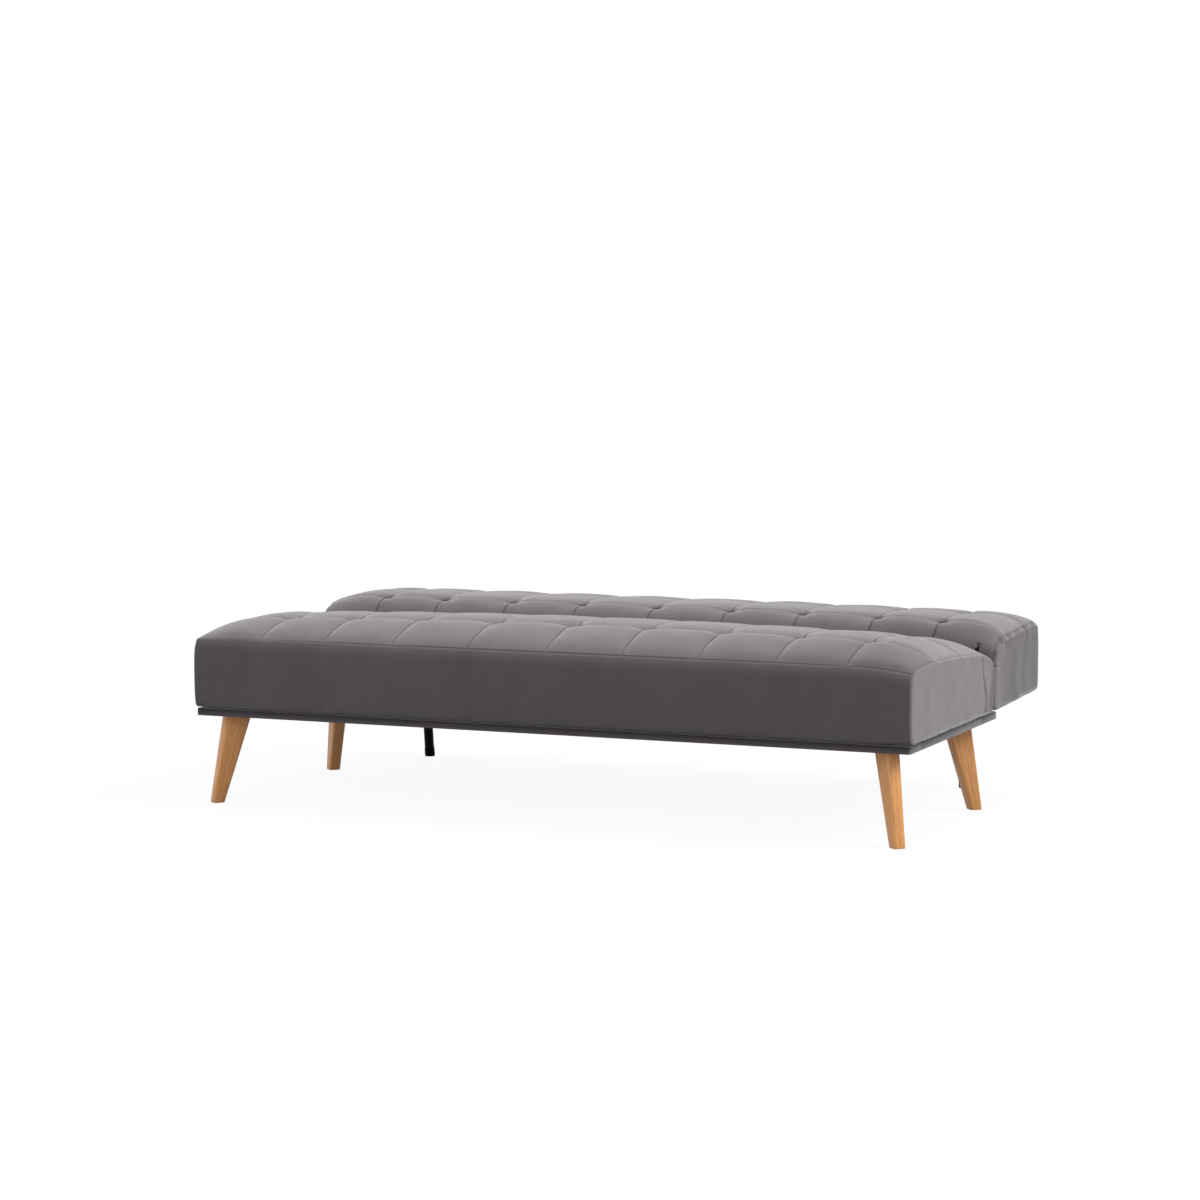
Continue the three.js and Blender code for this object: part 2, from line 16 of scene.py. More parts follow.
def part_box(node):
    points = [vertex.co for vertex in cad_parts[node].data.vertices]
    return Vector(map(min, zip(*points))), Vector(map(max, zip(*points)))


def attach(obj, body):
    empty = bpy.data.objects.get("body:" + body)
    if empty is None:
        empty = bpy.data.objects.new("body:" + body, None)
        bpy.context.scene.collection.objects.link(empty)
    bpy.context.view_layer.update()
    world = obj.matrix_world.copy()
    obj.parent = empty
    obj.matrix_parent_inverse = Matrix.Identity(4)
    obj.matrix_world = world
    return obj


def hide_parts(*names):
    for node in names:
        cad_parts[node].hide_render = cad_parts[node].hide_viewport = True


bl_info = {
    "name": "Click Clack Sofa Bed",
    "version": (1, 0, 0),
    "blender": (4, 5, 0),
    "location": "3D View > Sidebar > Sofa Bed",
    "description": "Dresses a click clack sofa bed: tufted covers, seams, legs, linings and a plain stage",
    "category": "Add Mesh",
}

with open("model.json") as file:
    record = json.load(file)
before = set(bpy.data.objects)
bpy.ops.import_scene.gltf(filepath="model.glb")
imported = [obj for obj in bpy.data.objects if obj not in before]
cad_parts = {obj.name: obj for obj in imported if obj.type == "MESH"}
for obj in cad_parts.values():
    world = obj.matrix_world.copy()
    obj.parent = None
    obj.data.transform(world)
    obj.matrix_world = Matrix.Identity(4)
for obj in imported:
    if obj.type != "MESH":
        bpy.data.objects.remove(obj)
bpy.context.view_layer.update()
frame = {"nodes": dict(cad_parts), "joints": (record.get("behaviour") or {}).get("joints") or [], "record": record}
RECORD = frame["record"]
JOINTS = {joint["name"]: joint for joint in frame["joints"]}

MM = 0.001
SIDES = {"left": -1, "right": 1}
BASE_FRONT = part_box("base_front_rail")[0].y  # the cushions' sections are measured from here

# The cushions' ends
LAST_SEAM = 748 * MM  # the ends begin to round off this far from the middle, on both sides
END_SWELL = 2 * MM
END_SWELL_REACH = 16 * MM  # how soon an end panel swells out behind its rim
END_GRID = 8 * MM
RIM_INSETS = (2.2 * MM, 5.5 * MM)  # mesh lines that follow the rim
RIM_STITCH = 6 * MM
RIM_PUCKER = 2.2 * MM  # depth of the pucker where a row seam meets the rim
END_SHADE_RAMP = 110 * MM  # over which an end panel's painted shade goes from its front to its rear share, behind its front edge

# The curved seam across the seat's ends, with the strip behind it high up and low down
CREASE_LOW = (350 * MM, 270 * MM)  # heights between which the strip goes from the one to the other
CREASE_FALL = (3.5 * MM, 8 * MM)  # how far the strip falls back
CREASE_SHADE = (20 * MM, 34 * MM)  # width of the painted shade in it, where it falls back behind the seam
CREASE_CUT = 3 * MM  # depth of the seam
CREASE_CUT_WIDTHS = (1.6 * MM, 6 * MM)  # ahead of the seam and behind it
SEAM_GUIDES = (-4, -1.5, 0.5, 2.5, 5, 9, 13, 17, 21, 25, 30, 35)  # mesh lines, in mm behind the seam
GUIDED = (-6.5 * MM, 39 * MM)  # the band that they fill

# Powers of a puff's profile: the low one is steep beside a sewn-down seam, the high one gentle
STEEP = 0.5
GENTLE = 0.85
SEAM_SHARE = 0.66  # share of a puff's height that its seams rise to, away from the tufts
FRONT_CORNER = 55 * MM  # how soon the fuller front corner on the left goes over to the rest
EDGE_ROLL = 22 * MM  # how soon the cloth rises behind its front and rear edges
FACING_ROLL = 70 * MM  # the same at an edge that faces the other cushion, so that they don't press together
LIP = 13 * MM  # height of the band below the front edge where the painted shade is halved, a painted highlight on the soft lip
FRONT_SHADE = 0.22  # painted shade just behind the front edge, where the cloth curves down away from the light
FRONT_SHADE_REACH = 28 * MM
HEM_SHADE = 5 * MM  # height of the painted shade along the hem under each cushion, where the gap below is in shade
SEAM_HOLD = 10 * MM  # distance from a seam within which the cloth hardly settles
SMOOTH_PASSES = 3
TUFT_REACH = 30 * MM
DIMPLE_REACH = 13 * MM
TUFT_CREASES = (-1.5, -0.7, 0.7, 1.5)  # slopes of the creases that fan out from a tuft
CREASE_WIDTH = 3.2 * MM
CREASE_DEPTH = 1.6 * MM
TOPSTITCH = 9 * MM  # how far the second stitch line lies below its edge

# Cushion sections in millimetres from the base's front edge: [middle y, middle z, end y, end z].
# The rows run from seam to seam over the top, and the other panels join them below. The columns
# are the places across of the sewn seams, which lie as unevenly as in hand-made covers. Pairs are
# for the left and the right end, but fuller_left is for the rest and the front edge of the left end,
# and edge_rolls and the painted shade of the ends go from the front to the rear.
SEAT_SECTION = {
    "rim": 907,
    "corner": 9,
    "corner_inset": (9, 9),
    "corner_drop": (1.2, 0.4),
    "columns": [-732, -562, -380, -182, 18, 208, 397, 583, 752],
    "crown": (15, 11),
    "corner_power": 4,
    "rim_puckers": 0.15,
    "slope": (1.0, 1.0),
    "fuller_left": (0.37, 0.72),
    "left_reach": 5,
    "edge_rolls": (EDGE_ROLL, FACING_ROLL),
    "lean": 0,
    "end_folds": 0.05,
    "end_seam": [[551, 388], [552, 366], [555, 344], [564, 318], [577, 294], [586, 271], [583, 256],
                 [563, 236]],
    # Shares of painted shade in the pile's colour: on the front, the rows, rear, bottom and ends, and more on the
    # front row towards the right
    "nap_and_painted_shade": {"front": 0.58, "rows": (0.14, 0.0, 0.0), "rear": 0.3, "bottom": 0.4, "ends": (0.04, 0.1),
                "right": 0.28},
    "front": [[14, 235.4, 16, 235.6], [4, 237.5, 7, 238.5], [-1, 247, 1, 248], [-4, 280, -2, 280],
              [-5, 320, -3, 320], [-4.5, 354, -2.5, 350], [-2, 384, 0, 376], [7, 408, 10, 395]],
    "rows": [
        [[7, 408, 10, 395], [40, 420, 45, 400], [88, 435, 92, 403], [138, 446, 138, 404],
         [185, 450, 185, 403]],
        [[185, 450, 185, 403], [235, 451, 235, 402], [285, 450, 285, 401], [335, 447, 335, 399],
         [385, 443, 385, 396]],
        [[385, 443, 385, 396], [450, 435, 450, 392], [515, 425, 515, 388], [572, 409, 572, 382],
         [621, 386, 618, 373], [652, 361, 650, 362], [673, 341, 667, 348]],
    ],
    "rear": [[673, 341, 667, 348], [677, 331, 670, 330], [675, 312, 670, 308], [669, 283, 666, 282],
             [662, 254, 660, 253], [655, 237, 652, 237]],
    "bottom": [[655, 237, 652, 237], [300, 237, 300, 236], [14, 235.4, 16, 235.6]],
}
BACK_SECTION = {
    "rim": 905,
    "corner": 15,
    "corner_inset": (5, 15),
    "corner_drop": (0.4, 0.4),
    "columns": [-760, -594, -400, -206, -2, 197, 389, 584, 750],
    "crown": (0, 7),
    "corner_power": 2,
    "rim_puckers": 1.0,
    "slope": (1.0, 0.5),
    "fuller_left": (0.62, 0.7),
    "left_reach": 18,
    "edge_rolls": (FACING_ROLL, EDGE_ROLL),
    "lean": 14,
    "end_folds": 0.4,
    # Shares of painted shade in the pile's colour: on the front, the rows, rear, bottom and ends, and more on the
    # front row towards the right
    "nap_and_painted_shade": {"front": 0.3, "rows": (0.16, 0.0, 0.0), "rear": 0.3, "bottom": 0.4, "ends": (0.22, 0.55),
                "right": 0.12},
    "front": [[686, 238.6, 684, 236.5], [667.5, 244.5, 678, 243], [678.5, 292, 675, 292],
              [688, 345, 674, 345]],
    "rows": [
        [[688, 345, 674, 345], [688, 373, 678, 371], [695, 405, 692, 387], [717, 435, 724, 397],
         [755, 449, 755, 402]],
        [[755, 449, 755, 402], [804, 449, 804, 405], [853, 448, 853, 408], [902, 446, 902, 411],
         [952, 443, 952, 414]],
        [[952, 443, 952, 414], [983, 443, 983, 416], [1016, 439, 1014, 417], [1048, 428, 1046, 417],
         [1074, 408, 1074, 410]],
    ],
    "rear": [[1074, 408, 1074, 410], [1089, 366, 1080, 366], [1095, 322, 1078, 322], [1094, 284, 1078, 284],
             [1084, 255, 1075, 254], [1068, 248, 1062, 247]],
    "bottom": [[1068, 248, 1062, 247], [880, 243.4, 880, 242.4], [686, 238.6, 684, 236.5]],
}
PANEL_STEPS = {"front": 24, "row": 24, "rear": 18, "bottom": 12}
COLUMN_STEPS = 24
CLUSTER = 0.8  # how far the mesh lines crowd towards a seam

# Slots for the hinge leaves in the backrest cover: (y, z) outline in millimetres as the section, and x.
# Both leaves pass the lower slot, and only the seat's leaf swings up through the upper one.
LEAF_SLOTS = (
    ([[640, 225], [703, 225], [733, 366], [729, 385], [640, 385]], (850.8 * MM, 861.2 * MM)),
    ([[640, 370], [729, 370], [727, 385], [717, 386], [700, 391.5], [688.5, 397], [640, 449]],
     (855.9 * MM, 861.2 * MM)),
)


class SofaBedSettings(bpy.types.PropertyGroup):
    velvet_colour: FloatVectorProperty(
        name="Velvet", description="Colour of the velvet pile", subtype="COLOR",
        size=3, min=0, max=1, default=(0.168, 0.153, 0.164))
    wood_colour: FloatVectorProperty(
        name="Leg wood", description="Main colour of the legs", subtype="COLOR",
        size=3, min=0, max=1, default=(0.71, 0.335, 0.11))
    seat_puff: FloatProperty(
        name="Seat puff", description="How far the filling pushes the seat's cloth out between the seams",
        default=10.5 * MM, unit="LENGTH")
    back_puff: FloatProperty(
        name="Backrest puff", description="How far the filling pushes the backrest's cloth out",
        default=8 * MM, unit="LENGTH")
    cloth_limit: FloatProperty(
        name="Slack", description="How far the cloth may settle from an even puff",
        default=5 * MM, unit="LENGTH")
    face_swell: FloatProperty(
        name="Face swell", description="How far the plain faces swell", default=1 * MM, unit="LENGTH")
    cloth_growth: FloatProperty(
        name="Fullness", description="Share by which the cloth is cut larger than its puffs", default=0.015)
    pressure: FloatProperty(
        name="Filling pressure", description="Pressure of the filling on the cloth", default=2.5)
    fill_frames: IntProperty(
        name="Filling steps", description="Steps of the cloth simulation", default=22, min=1)
    groove_depth: FloatProperty(
        name="Seam depth", description="Depth of the groove along a seam", default=2.4 * MM, unit="LENGTH")
    groove_width: FloatProperty(
        name="Seam width", description="Half width of the groove", default=2.3 * MM, unit="LENGTH")
    tuft_depth: FloatProperty(
        name="Tuft depth", description="How far the cloth is pulled in where seams cross",
        default=7 * MM, unit="LENGTH")
    dimple_depth: FloatProperty(
        name="Dimple depth", description="How much deeper the cloth is pulled in right at the tuft",
        default=4.5 * MM, unit="LENGTH")
    stitch_pitch: FloatProperty(
        name="Stitch pitch", description="Distance between stitches", default=6 * MM, unit="LENGTH")
    stitch_radius: FloatProperty(
        name="Thread radius", description="Radius of the thread", default=0.45 * MM, unit="LENGTH")


def settings():
    return bpy.context.scene.sofa_bed


# Nodes


def feed(tree, socket, value):
    """Sets an input to a value, or links it to a socket or to a node's first output."""
    if isinstance(value, bpy.types.Node):
        value = value.outputs[0]
    if isinstance(value, bpy.types.NodeSocket):
        tree.links.new(value, socket)
    else:
        socket.default_value = value


def node(tree, kind, inputs=None, **properties):
    made = tree.nodes.new(kind)
    for name, value in properties.items():
        setattr(made, name, value)
    for label, value in (inputs or {}).items():
        feed(tree, made.inputs[label], value)
    return made


def new_tree(name, family, inputs, outputs):
    """A node group with its sockets, given as label: (kind, default) or label: (kind,)."""
    tree = bpy.data.node_groups.new(name, family)
    for way, sockets in (("INPUT", inputs), ("OUTPUT", outputs)):
        for label, (kind, *default) in sockets.items():
            socket = tree.interface.new_socket(name=label, in_out=way, socket_type=f"NodeSocket{kind}")
            if default:
                socket.default_value = default[0]
    return tree, node(tree, "NodeGroupInput").outputs, node(tree, "NodeGroupOutput").inputs


def noise(tree, vector, scale, detail=3.0, roughness=0.55, distortion=0.0):
    return node(tree, "ShaderNodeTexNoise", {
        "Vector": vector, "Scale": scale, "Detail": detail, "Roughness": roughness, "Distortion": distortion})


def remap(tree, value, low, high, to_low, to_high):
    return node(tree, "ShaderNodeMapRange", {
        "Value": value, "From Min": low, "From Max": high, "To Min": to_low, "To Max": to_high})


def arithmetic(tree, operation, first, second):
    return node(tree, "ShaderNodeMath", {0: first, 1: second}, operation=operation)


def centred(tree, value, share):
    """What a value differs from a half by, times a share."""
    return arithmetic(tree, "MULTIPLY", arithmetic(tree, "SUBTRACT", value, 0.5), share)


def blend_colour(tree, kind, factor, first, second):
    inputs = {0: factor, 6: first, 7: second}
    return node(tree, "ShaderNodeMix", inputs, data_type="RGBA", blend_type=kind).outputs[2]


def mapped(tree, vector, **change):
    inputs = {label.title(): value for label, value in change.items()}
    return node(tree, "ShaderNodeMapping", {"Vector": vector, **inputs})


def bump(tree, height, strength, distance):
    return node(tree, "ShaderNodeBump", {"Strength": strength, "Distance": distance, "Height": height})


def object_vector(tree):
    return node(tree, "ShaderNodeTexCoord").outputs["Object"]


def attribute(tree, label, output="Fac"):
    return node(tree, "ShaderNodeAttribute", attribute_name=label).outputs[output]


def brushed_pile_group():
    """Patches where the pile lies one way or the other, and the fine grain of its tips."""
    tree, given, result = new_tree(
        "Brushed pile", "ShaderNodeTree",
        {"Vector": ("Vector",), "Patch Size": ("Float", 7.0), "Patch Strength": ("Float", 0.2),
         "Grain Scale": ("Float", 900.0)},
        {"Shade": ("Float",), "Height": ("Float",)})
    vector = given["Vector"]
    patches = noise(tree, vector, given["Patch Size"], detail=4.0, roughness=0.6, distortion=0.8)
    swing = centred(tree, patches, given["Patch Strength"])
    grain = noise(tree, vector, given["Grain Scale"], detail=2.0, roughness=0.5)
    streak = noise(tree, mapped(tree, vector, scale=(1.0, 1.0, 0.22)), 34.0, detail=2.0)
    nap_and_painted_shade = arithmetic(tree, "ADD", swing, centred(tree, streak, 0.16))
    flecked = arithmetic(tree, "ADD", nap_and_painted_shade, centred(tree, grain, 0.22))
    feed(tree, result["Shade"], arithmetic(tree, "ADD", flecked, 1.0))
    feed(tree, result["Height"], arithmetic(tree, "ADD", grain, swing))
    return tree


def wood_grain_group():
    """Long fibres, growth rings and pores along the local Z of the vector."""
    tree, given, result = new_tree(
        "Wood grain", "ShaderNodeTree",
        {"Vector": ("Vector",), "Light": ("Color", (0.7, 0.4, 0.2, 1)),
         "Dark": ("Color", (0.3, 0.12, 0.04, 1)), "Ring Scale": ("Float", 30.0)},
        {"Color": ("Color",), "Height": ("Float",), "Roughness": ("Float",)})
    vector = mapped(tree, given["Vector"], scale=(1.0, 1.0, 0.07))
    fibre = noise(tree, vector, 420.0, detail=4.0, roughness=0.6)
    broad = noise(tree, vector, 38.0, distortion=1.2)
    rings = node(tree, "ShaderNodeTexWave", {
        "Vector": vector, "Scale": given["Ring Scale"], "Distortion": 5.0, "Detail": 2.0,
        "Detail Scale": 1.2}, wave_type="BANDS", bands_direction="X", wave_profile="SAW")
    mask = arithmetic(tree, "ADD", arithmetic(tree, "MULTIPLY", rings.outputs["Fac"], 0.35),
                      arithmetic(tree, "MULTIPLY", broad, 0.65))
    tone = remap(tree, mask, 0.25, 0.85, 0.0, 0.75)
    base = blend_colour(tree, "MIX", tone, given["Light"], given["Dark"])
    streak = remap(tree, fibre, 0.42, 0.7, 0.0, 0.45)
    feed(tree, result["Color"], blend_colour(tree, "MIX", streak, base, given["Dark"]))
    feed(tree, result["Height"], fibre)
    feed(tree, result["Roughness"], remap(tree, fibre, 0.3, 0.7, 0.36, 0.5))
    return tree


# Materials

# Near-black colours that painted shade mixes the pile towards: on the faces, rows and ends that get less light,
# and in seams, tufts, creases and hems
PILE_PAINTED_SHADE = (0.010, 0.006, 0.010, 1.0)
PILE_CREASE_SHADE = (0.012, 0.010, 0.011, 1.0)
SAWN_WOOD = ((0.62, 0.44, 0.25), (0.42, 0.27, 0.13))
QUARTER = math.pi / 2


def new_material(name):
    material = bpy.data.materials.new(name)
    material.use_nodes = True
    return material, material.node_tree


def set_shader(tree, inputs):
    for label, value in inputs.items():
        feed(tree, tree.nodes["Principled BSDF"].inputs[label], value)


def velvet_material(colour):
    material, tree = new_material("velvet")
    inputs = {"Vector": object_vector(tree), "Patch Size": 6.0, "Patch Strength": 0.34}
    pile = node(tree, "ShaderNodeGroup", inputs, node_tree=brushed_pile_group()).outputs
    tinted = blend_colour(tree, "MULTIPLY", 1.0, (*colour, 1.0), pile["Shade"])
    # Painted shade: the pile's colour is darkened towards near-black where less light falls, and more in the
    # seams, tufts, creases and hems
    tinted = blend_colour(tree, "MIX", attribute(tree, "nap_and_painted_shade"), tinted, PILE_PAINTED_SHADE)
    crease_shade = arithmetic(tree, "MULTIPLY", attribute(tree, "fold"), 0.85)
    set_shader(tree, {
        "Base Color": blend_colour(tree, "MIX", crease_shade, tinted, PILE_CREASE_SHADE),
        "Roughness": 0.85,
        "Specular IOR Level": 0.15,
        "Sheen Weight": 0.55,
        "Sheen Roughness": 0.38,
        "Sheen Tint": (0.87, 0.86, 0.87, 1.0),
        "Normal": bump(tree, pile["Height"], 0.35, 0.6 * MM),
    })
    return material


def thread_material():
    material, tree = new_material("sewing thread")
    twist = noise(tree, object_vector(tree), 1500.0)
    colour = blend_colour(tree, "MIX", twist, (0.030, 0.026, 0.029, 1), (0.055, 0.049, 0.053, 1))
    set_shader(tree, {"Base Color": colour, "Roughness": 0.6})
    return material


def wood_material(name, group, light, dark, turn=None):
    """Lacquered wood along each point's own grain, or sawn wood with its grain turned one way."""
    material, tree = new_material(name)
    vector = mapped(tree, object_vector(tree), rotation=turn) if turn else attribute(tree, "grain", "Vector")
    inputs = {"Vector": vector, "Light": (*light, 1), "Dark": (*dark, 1), "Ring Scale": 26.0}
    grain = node(tree, "ShaderNodeGroup", inputs, node_tree=group).outputs
    set_shader(tree, {
        "Base Color": grain["Color"],
        "Roughness": 0.75 if turn else grain["Roughness"],
        "Coat Weight": 0.0 if turn else 0.08,
        "Coat Roughness": 0.25,
        "Normal": bump(tree, grain["Height"], 0.25, 0.25 * MM),
    })
    return material


def speckled_material(name, low, high, scale, roughness, metallic=0.0, strength=0.15, gloss=0.5):
    """A plain finish whose colour and surface vary a little at one scale."""
    material, tree = new_material(name)
    grain = noise(tree, object_vector(tree), scale, detail=4.0)
    set_shader(tree, {
        "Base Color": blend_colour(tree, "MIX", grain, (*low, 1), (*high, 1)),
        "Roughness": remap(tree, grain, 0.2, 0.8, roughness - 0.08, roughness + 0.08),
        "Metallic": metallic,
        "Specular IOR Level": gloss,
        "Normal": bump(tree, grain, strength, 0.3 * MM),
    })
    return material


def lining_material():
    """Thin bonded sheet with a fine dotted emboss."""
    material, tree = new_material("bonded lining")
    inputs = {"Vector": object_vector(tree), "Scale": 420.0}
    dots = node(tree, "ShaderNodeTexVoronoi", inputs, feature="F1").outputs["Distance"]
    set_shader(tree, {
        "Base Color": blend_colour(tree, "MIX", dots, (0.010, 0.010, 0.012, 1), (0.026, 0.026, 0.029, 1)),
        "Roughness": 0.9,
        "Normal": bump(tree, dots, 0.4, 0.3 * MM),
    })
    return material


MATERIALS = {}


def make_materials():
    grain = wood_grain_group()
    wood = tuple(settings().wood_colour)
    deep = (wood[0] * 0.5, wood[1] * 0.4, wood[2] * 0.33)
    MATERIALS.update(
        velvet=velvet_material(settings().velvet_colour),
        thread=thread_material(),
        leg_wood=wood_material("lacquered leg wood", grain, wood, deep),
        sawn_across=wood_material("sawn wood across", grain, *SAWN_WOOD, turn=(0, QUARTER, 0)),
        sawn_deep=wood_material("sawn wood lengthwise", grain, *SAWN_WOOD, turn=(QUARTER, 0, 0)),
        black_steel=speckled_material(
            "black powder coat", (0.002, 0.002, 0.003), (0.006, 0.006, 0.007), 900, 0.5, gloss=0.05),
        zinc=speckled_material("zinc plate", (0.42, 0.42, 0.44), (0.6, 0.6, 0.62), 160, 0.32, metallic=1.0),
        rubber=speckled_material(
            "black rubber", (0.003, 0.003, 0.003), (0.007, 0.007, 0.007), 500, 0.78, gloss=0.05),
        foam=speckled_material("cut foam", (0.62, 0.56, 0.38), (0.78, 0.72, 0.53), 700, 0.92, strength=0.6),
        webbing=speckled_material(
            "webbing", (0.02, 0.017, 0.014), (0.05, 0.043, 0.036), 800, 0.85, strength=0.5),
        lining=lining_material(),
    )


# Meshes


def place(name, mesh):
    piece = bpy.data.objects.new(name, mesh)
    bpy.context.scene.collection.objects.link(piece)
    return piece


def finish(mesh, material, smooth=True):
    mesh.materials.append(material)
    mesh.polygons.foreach_set("use_smooth", [smooth] * len(mesh.polygons))
    mesh.update()


def new_piece(name, vertices, faces, material, smooth=True):
    mesh = bpy.data.meshes.new(name)
    mesh.from_pydata([tuple(v) for v in vertices], [], faces)
    finish(mesh, material, smooth)
    return place(name, mesh)


@contextmanager
def editing(mesh, result=None):
    """Opens a mesh as a bmesh, and writes it back or into the result."""
    shape = bmesh.new()
    shape.from_mesh(mesh)
    yield shape
    shape.to_mesh(result or mesh)
    shape.free()


def join_points(shape, distance):
    bmesh.ops.remove_doubles(shape, verts=shape.verts, dist=distance)


def flatten(piece):
    """Turns what the piece's modifiers make into its plain mesh."""
    graph = bpy.context.evaluated_depsgraph_get()
    made = bpy.data.meshes.new_from_object(piece.evaluated_get(graph))
    piece.modifiers.clear()
    piece.data = made
    return piece


def apply_boolean(piece, operation, tool):
    """Joins a tool to a piece or cuts it out, and removes the tool."""
    change = piece.modifiers.new("boolean", "BOOLEAN")
    change.operation = operation
    change.solver = "MANIFOLD"
    change.object = tool
    flatten(piece)
    bpy.data.objects.remove(tool)


def mesh_points(mesh):
    flat = np.zeros(len(mesh.vertices) * 3)
    mesh.vertices.foreach_get("co", flat)
    return flat.reshape(-1, 3)


def mesh_normals(mesh):
    flat = np.zeros(len(mesh.vertices) * 3)
    mesh.vertex_normals.foreach_get("vector", flat)
    return flat.reshape(-1, 3)


def mesh_shades(mesh, label):
    values = np.zeros(len(mesh.vertices))
    mesh.attributes[label].data.foreach_get("value", values)
    return values


def set_shades(mesh, label, values):
    shades = mesh.attributes.get(label) or mesh.attributes.new(label, "FLOAT", "POINT")
    shades.data.foreach_set("value", values)


def groove(distance, width):
    return np.exp(-(distance / width) ** 2)


def curve_through(points, knots):
    """Places on a smooth curve through the points, at knot values that may lie between them."""
    p = np.asarray(points, float)
    last = len(p) - 1
    i = np.clip(np.floor(knots).astype(int), 0, last - 1)
    f = (knots - i)[:, None]
    here, there = p[i], p[i + 1]
    before = np.where((i == 0)[:, None], 2 * here - there, p[np.maximum(i - 1, 0)])
    after = np.where((i == last - 1)[:, None], 2 * there - here, p[np.minimum(i + 2, last)])
    return 0.5 * (2 * here + (there - before) * f + (2 * before - 5 * here + 4 * there - after) * f**2
                  + (3 * here - before - 3 * there + after) * f**3)


def crowded(steps):
    """Shares from 0 to 1 that lie closer together near both ends."""
    t = np.arange(steps) / steps
    return t - CLUSTER * np.sin(2 * np.pi * t) / (2 * np.pi)


def puff_profile(phase, gentle_start, gentle_end):
    """From 0 at a seam to 1 in the middle of a puff."""
    gentle = np.where(phase < 0.5, gentle_start, gentle_end)
    return np.sin(np.pi * phase).clip(0) ** np.where(gentle, GENTLE, STEEP)


class CushionForm:
    """The sewn skin of one cushion: rings of points across x, both ends closed, with its seams."""

    def __init__(self, section, puff):
        self.section = section
        self.puff = puff
        self.rim_x = section["rim"] * MM
        self.corner = section["corner"] * MM
        self.sample_section()
        self.sample_stations()
        self.rings = np.array([self.ring(x) for x in self.xs])
        self.fill_end()
        self.build_points()
        self.build_faces()

    def sample_section(self):
        rows = self.section["rows"]
        top = [point for i, row in enumerate(rows) for point in row[(i > 0):]]
        panels = [("front", 0), *(("row", i) for i in range(len(rows))), ("rear", 0), ("bottom", 0)]
        places, tags, row_phase = [], [], []
        knot = 0
        for name, index in panels:
            steps = PANEL_STEPS[name]
            phase = crowded(steps) if name != "bottom" else np.arange(steps) / steps
            if name == "row":
                spans = len(rows[index]) - 1
                places.append(curve_through(top, knot + phase * spans))
                knot += spans
            else:
                points = self.section[name]
                places.append(curve_through(points, phase * (len(points) - 1)))
            tags += [(name, index, step) for step in range(steps)]
            row_phase += list(phase if name == "row" else np.zeros(steps))
        self.places = np.vstack(places)
        self.tags = tags
        self.row_phase = np.array(row_phase)
        self.count = len(tags)
        middle = self.places[:, :2]
        steps = np.linalg.norm(np.roll(middle, -1, 0) - middle, axis=1) * MM
        self.girth = np.concatenate([[0.0], np.cumsum(steps)[:-1]])
        self.on_top = np.array([tag[0] == "row" for tag in tags])
        self.on_side = np.array([tag[0] in ("front", "rear") for tag in tags])
        self.row_of = np.array([tag[1] if tag[0] == "row" else -1 for tag in tags])
        starts = [i for i, tag in enumerate(tags) if tag[0] == "row" and tag[2] == 0]
        self.front_edge = starts[0]
        self.seam_rows = starts[1:]
        self.rear_edge = tags.index(("rear", 0, 0))
        usual, in_front = self.section["fuller_left"]
        behind = np.clip(self.girth - self.girth[self.front_edge], 0, None)
        self.fuller_left = usual + (in_front - usual) * np.exp(-behind / FRONT_CORNER)

    def sample_stations(self):
        bounds = [-self.rim_x, *(x * MM for x in self.section["columns"]), self.rim_x]
        phase = crowded(COLUMN_STEPS)
        xs = [start + (stop - start) * phase for start, stop in zip(bounds, bounds[1:])]
        cells = len(bounds) - 1
        self.xs = np.append(np.concatenate(xs), self.rim_x)
        self.column_phase = np.append(np.tile(phase, cells), 0.0)
        self.column_seams = [i * COLUMN_STEPS for i in range(1, cells)]

    def past_last_seam(self, x):
        return np.clip((np.abs(x) - LAST_SEAM) / (self.rim_x - LAST_SEAM), 0, 1)

    def ring(self, x):
        past = self.past_last_seam(x)
        slope = self.section["slope"][int(x > 0)]
        fade = slope * past**2 + (1 - slope) * past**8
        if x < 0:
            fade = fade * (1 - self.fuller_left)
        turn = past ** self.section["corner_power"]
        my, mz, ey, ez = self.places.T
        arch = np.sqrt(np.sin(np.pi * np.clip(self.top_share(), 0, 1)))
        crown = self.section["crown"][int(x > 0)] * (min(abs(x), LAST_SEAM) / LAST_SEAM) ** 2 * (1 - fade)
        y = my + (ey - my) * turn
        z = mz + (ez - mz) * fade - crown * arch * self.on_top
        into_corner = np.clip((abs(x) - self.rim_x + self.corner) / self.corner, 0, 1)
        inset = self.section["corner_inset"][int(x > 0)] * (1 - math.sqrt(1 - into_corner**2))
        middle, half = (y.max() + y.min()) / 2, (y.max() - y.min()) / 2
        y = middle + (y - middle) * (1 - inset / half)
        drop = self.section["corner_drop"][int(x > 0)] * inset / (z.max() - z.min())
        z = z.min() + (z - z.min()) * (1 - drop)
        return np.column_stack([np.full(self.count, x), BASE_FRONT + y * MM, z * MM])

    def top_share(self):
        first, last = self.girth[self.front_edge], self.girth[self.rear_edge]
        return (self.girth - first) / (last - first)

    def seam_distance(self, places):
        """Signed distance from the seam across the end panel, positive behind it."""
        seam = np.array(self.section["end_seam"]) * MM + (BASE_FRONT, 0)
        knots = np.linspace(0, len(seam) - 1, 160)
        line = curve_through(seam, knots)
        tangent = np.gradient(line, axis=0)
        behind = np.column_stack([-tangent[:, 1], tangent[:, 0]])
        behind /= np.linalg.norm(behind, axis=1)[:, None]
        apart = places[:, None] - line[None]
        size = np.linalg.norm(apart, axis=2)
        nearest = size.argmin(1)
        rows = np.arange(len(places))
        sign = np.sign((apart[rows, nearest] * behind[nearest]).sum(1))
        return size[rows, nearest] * sign, line, behind

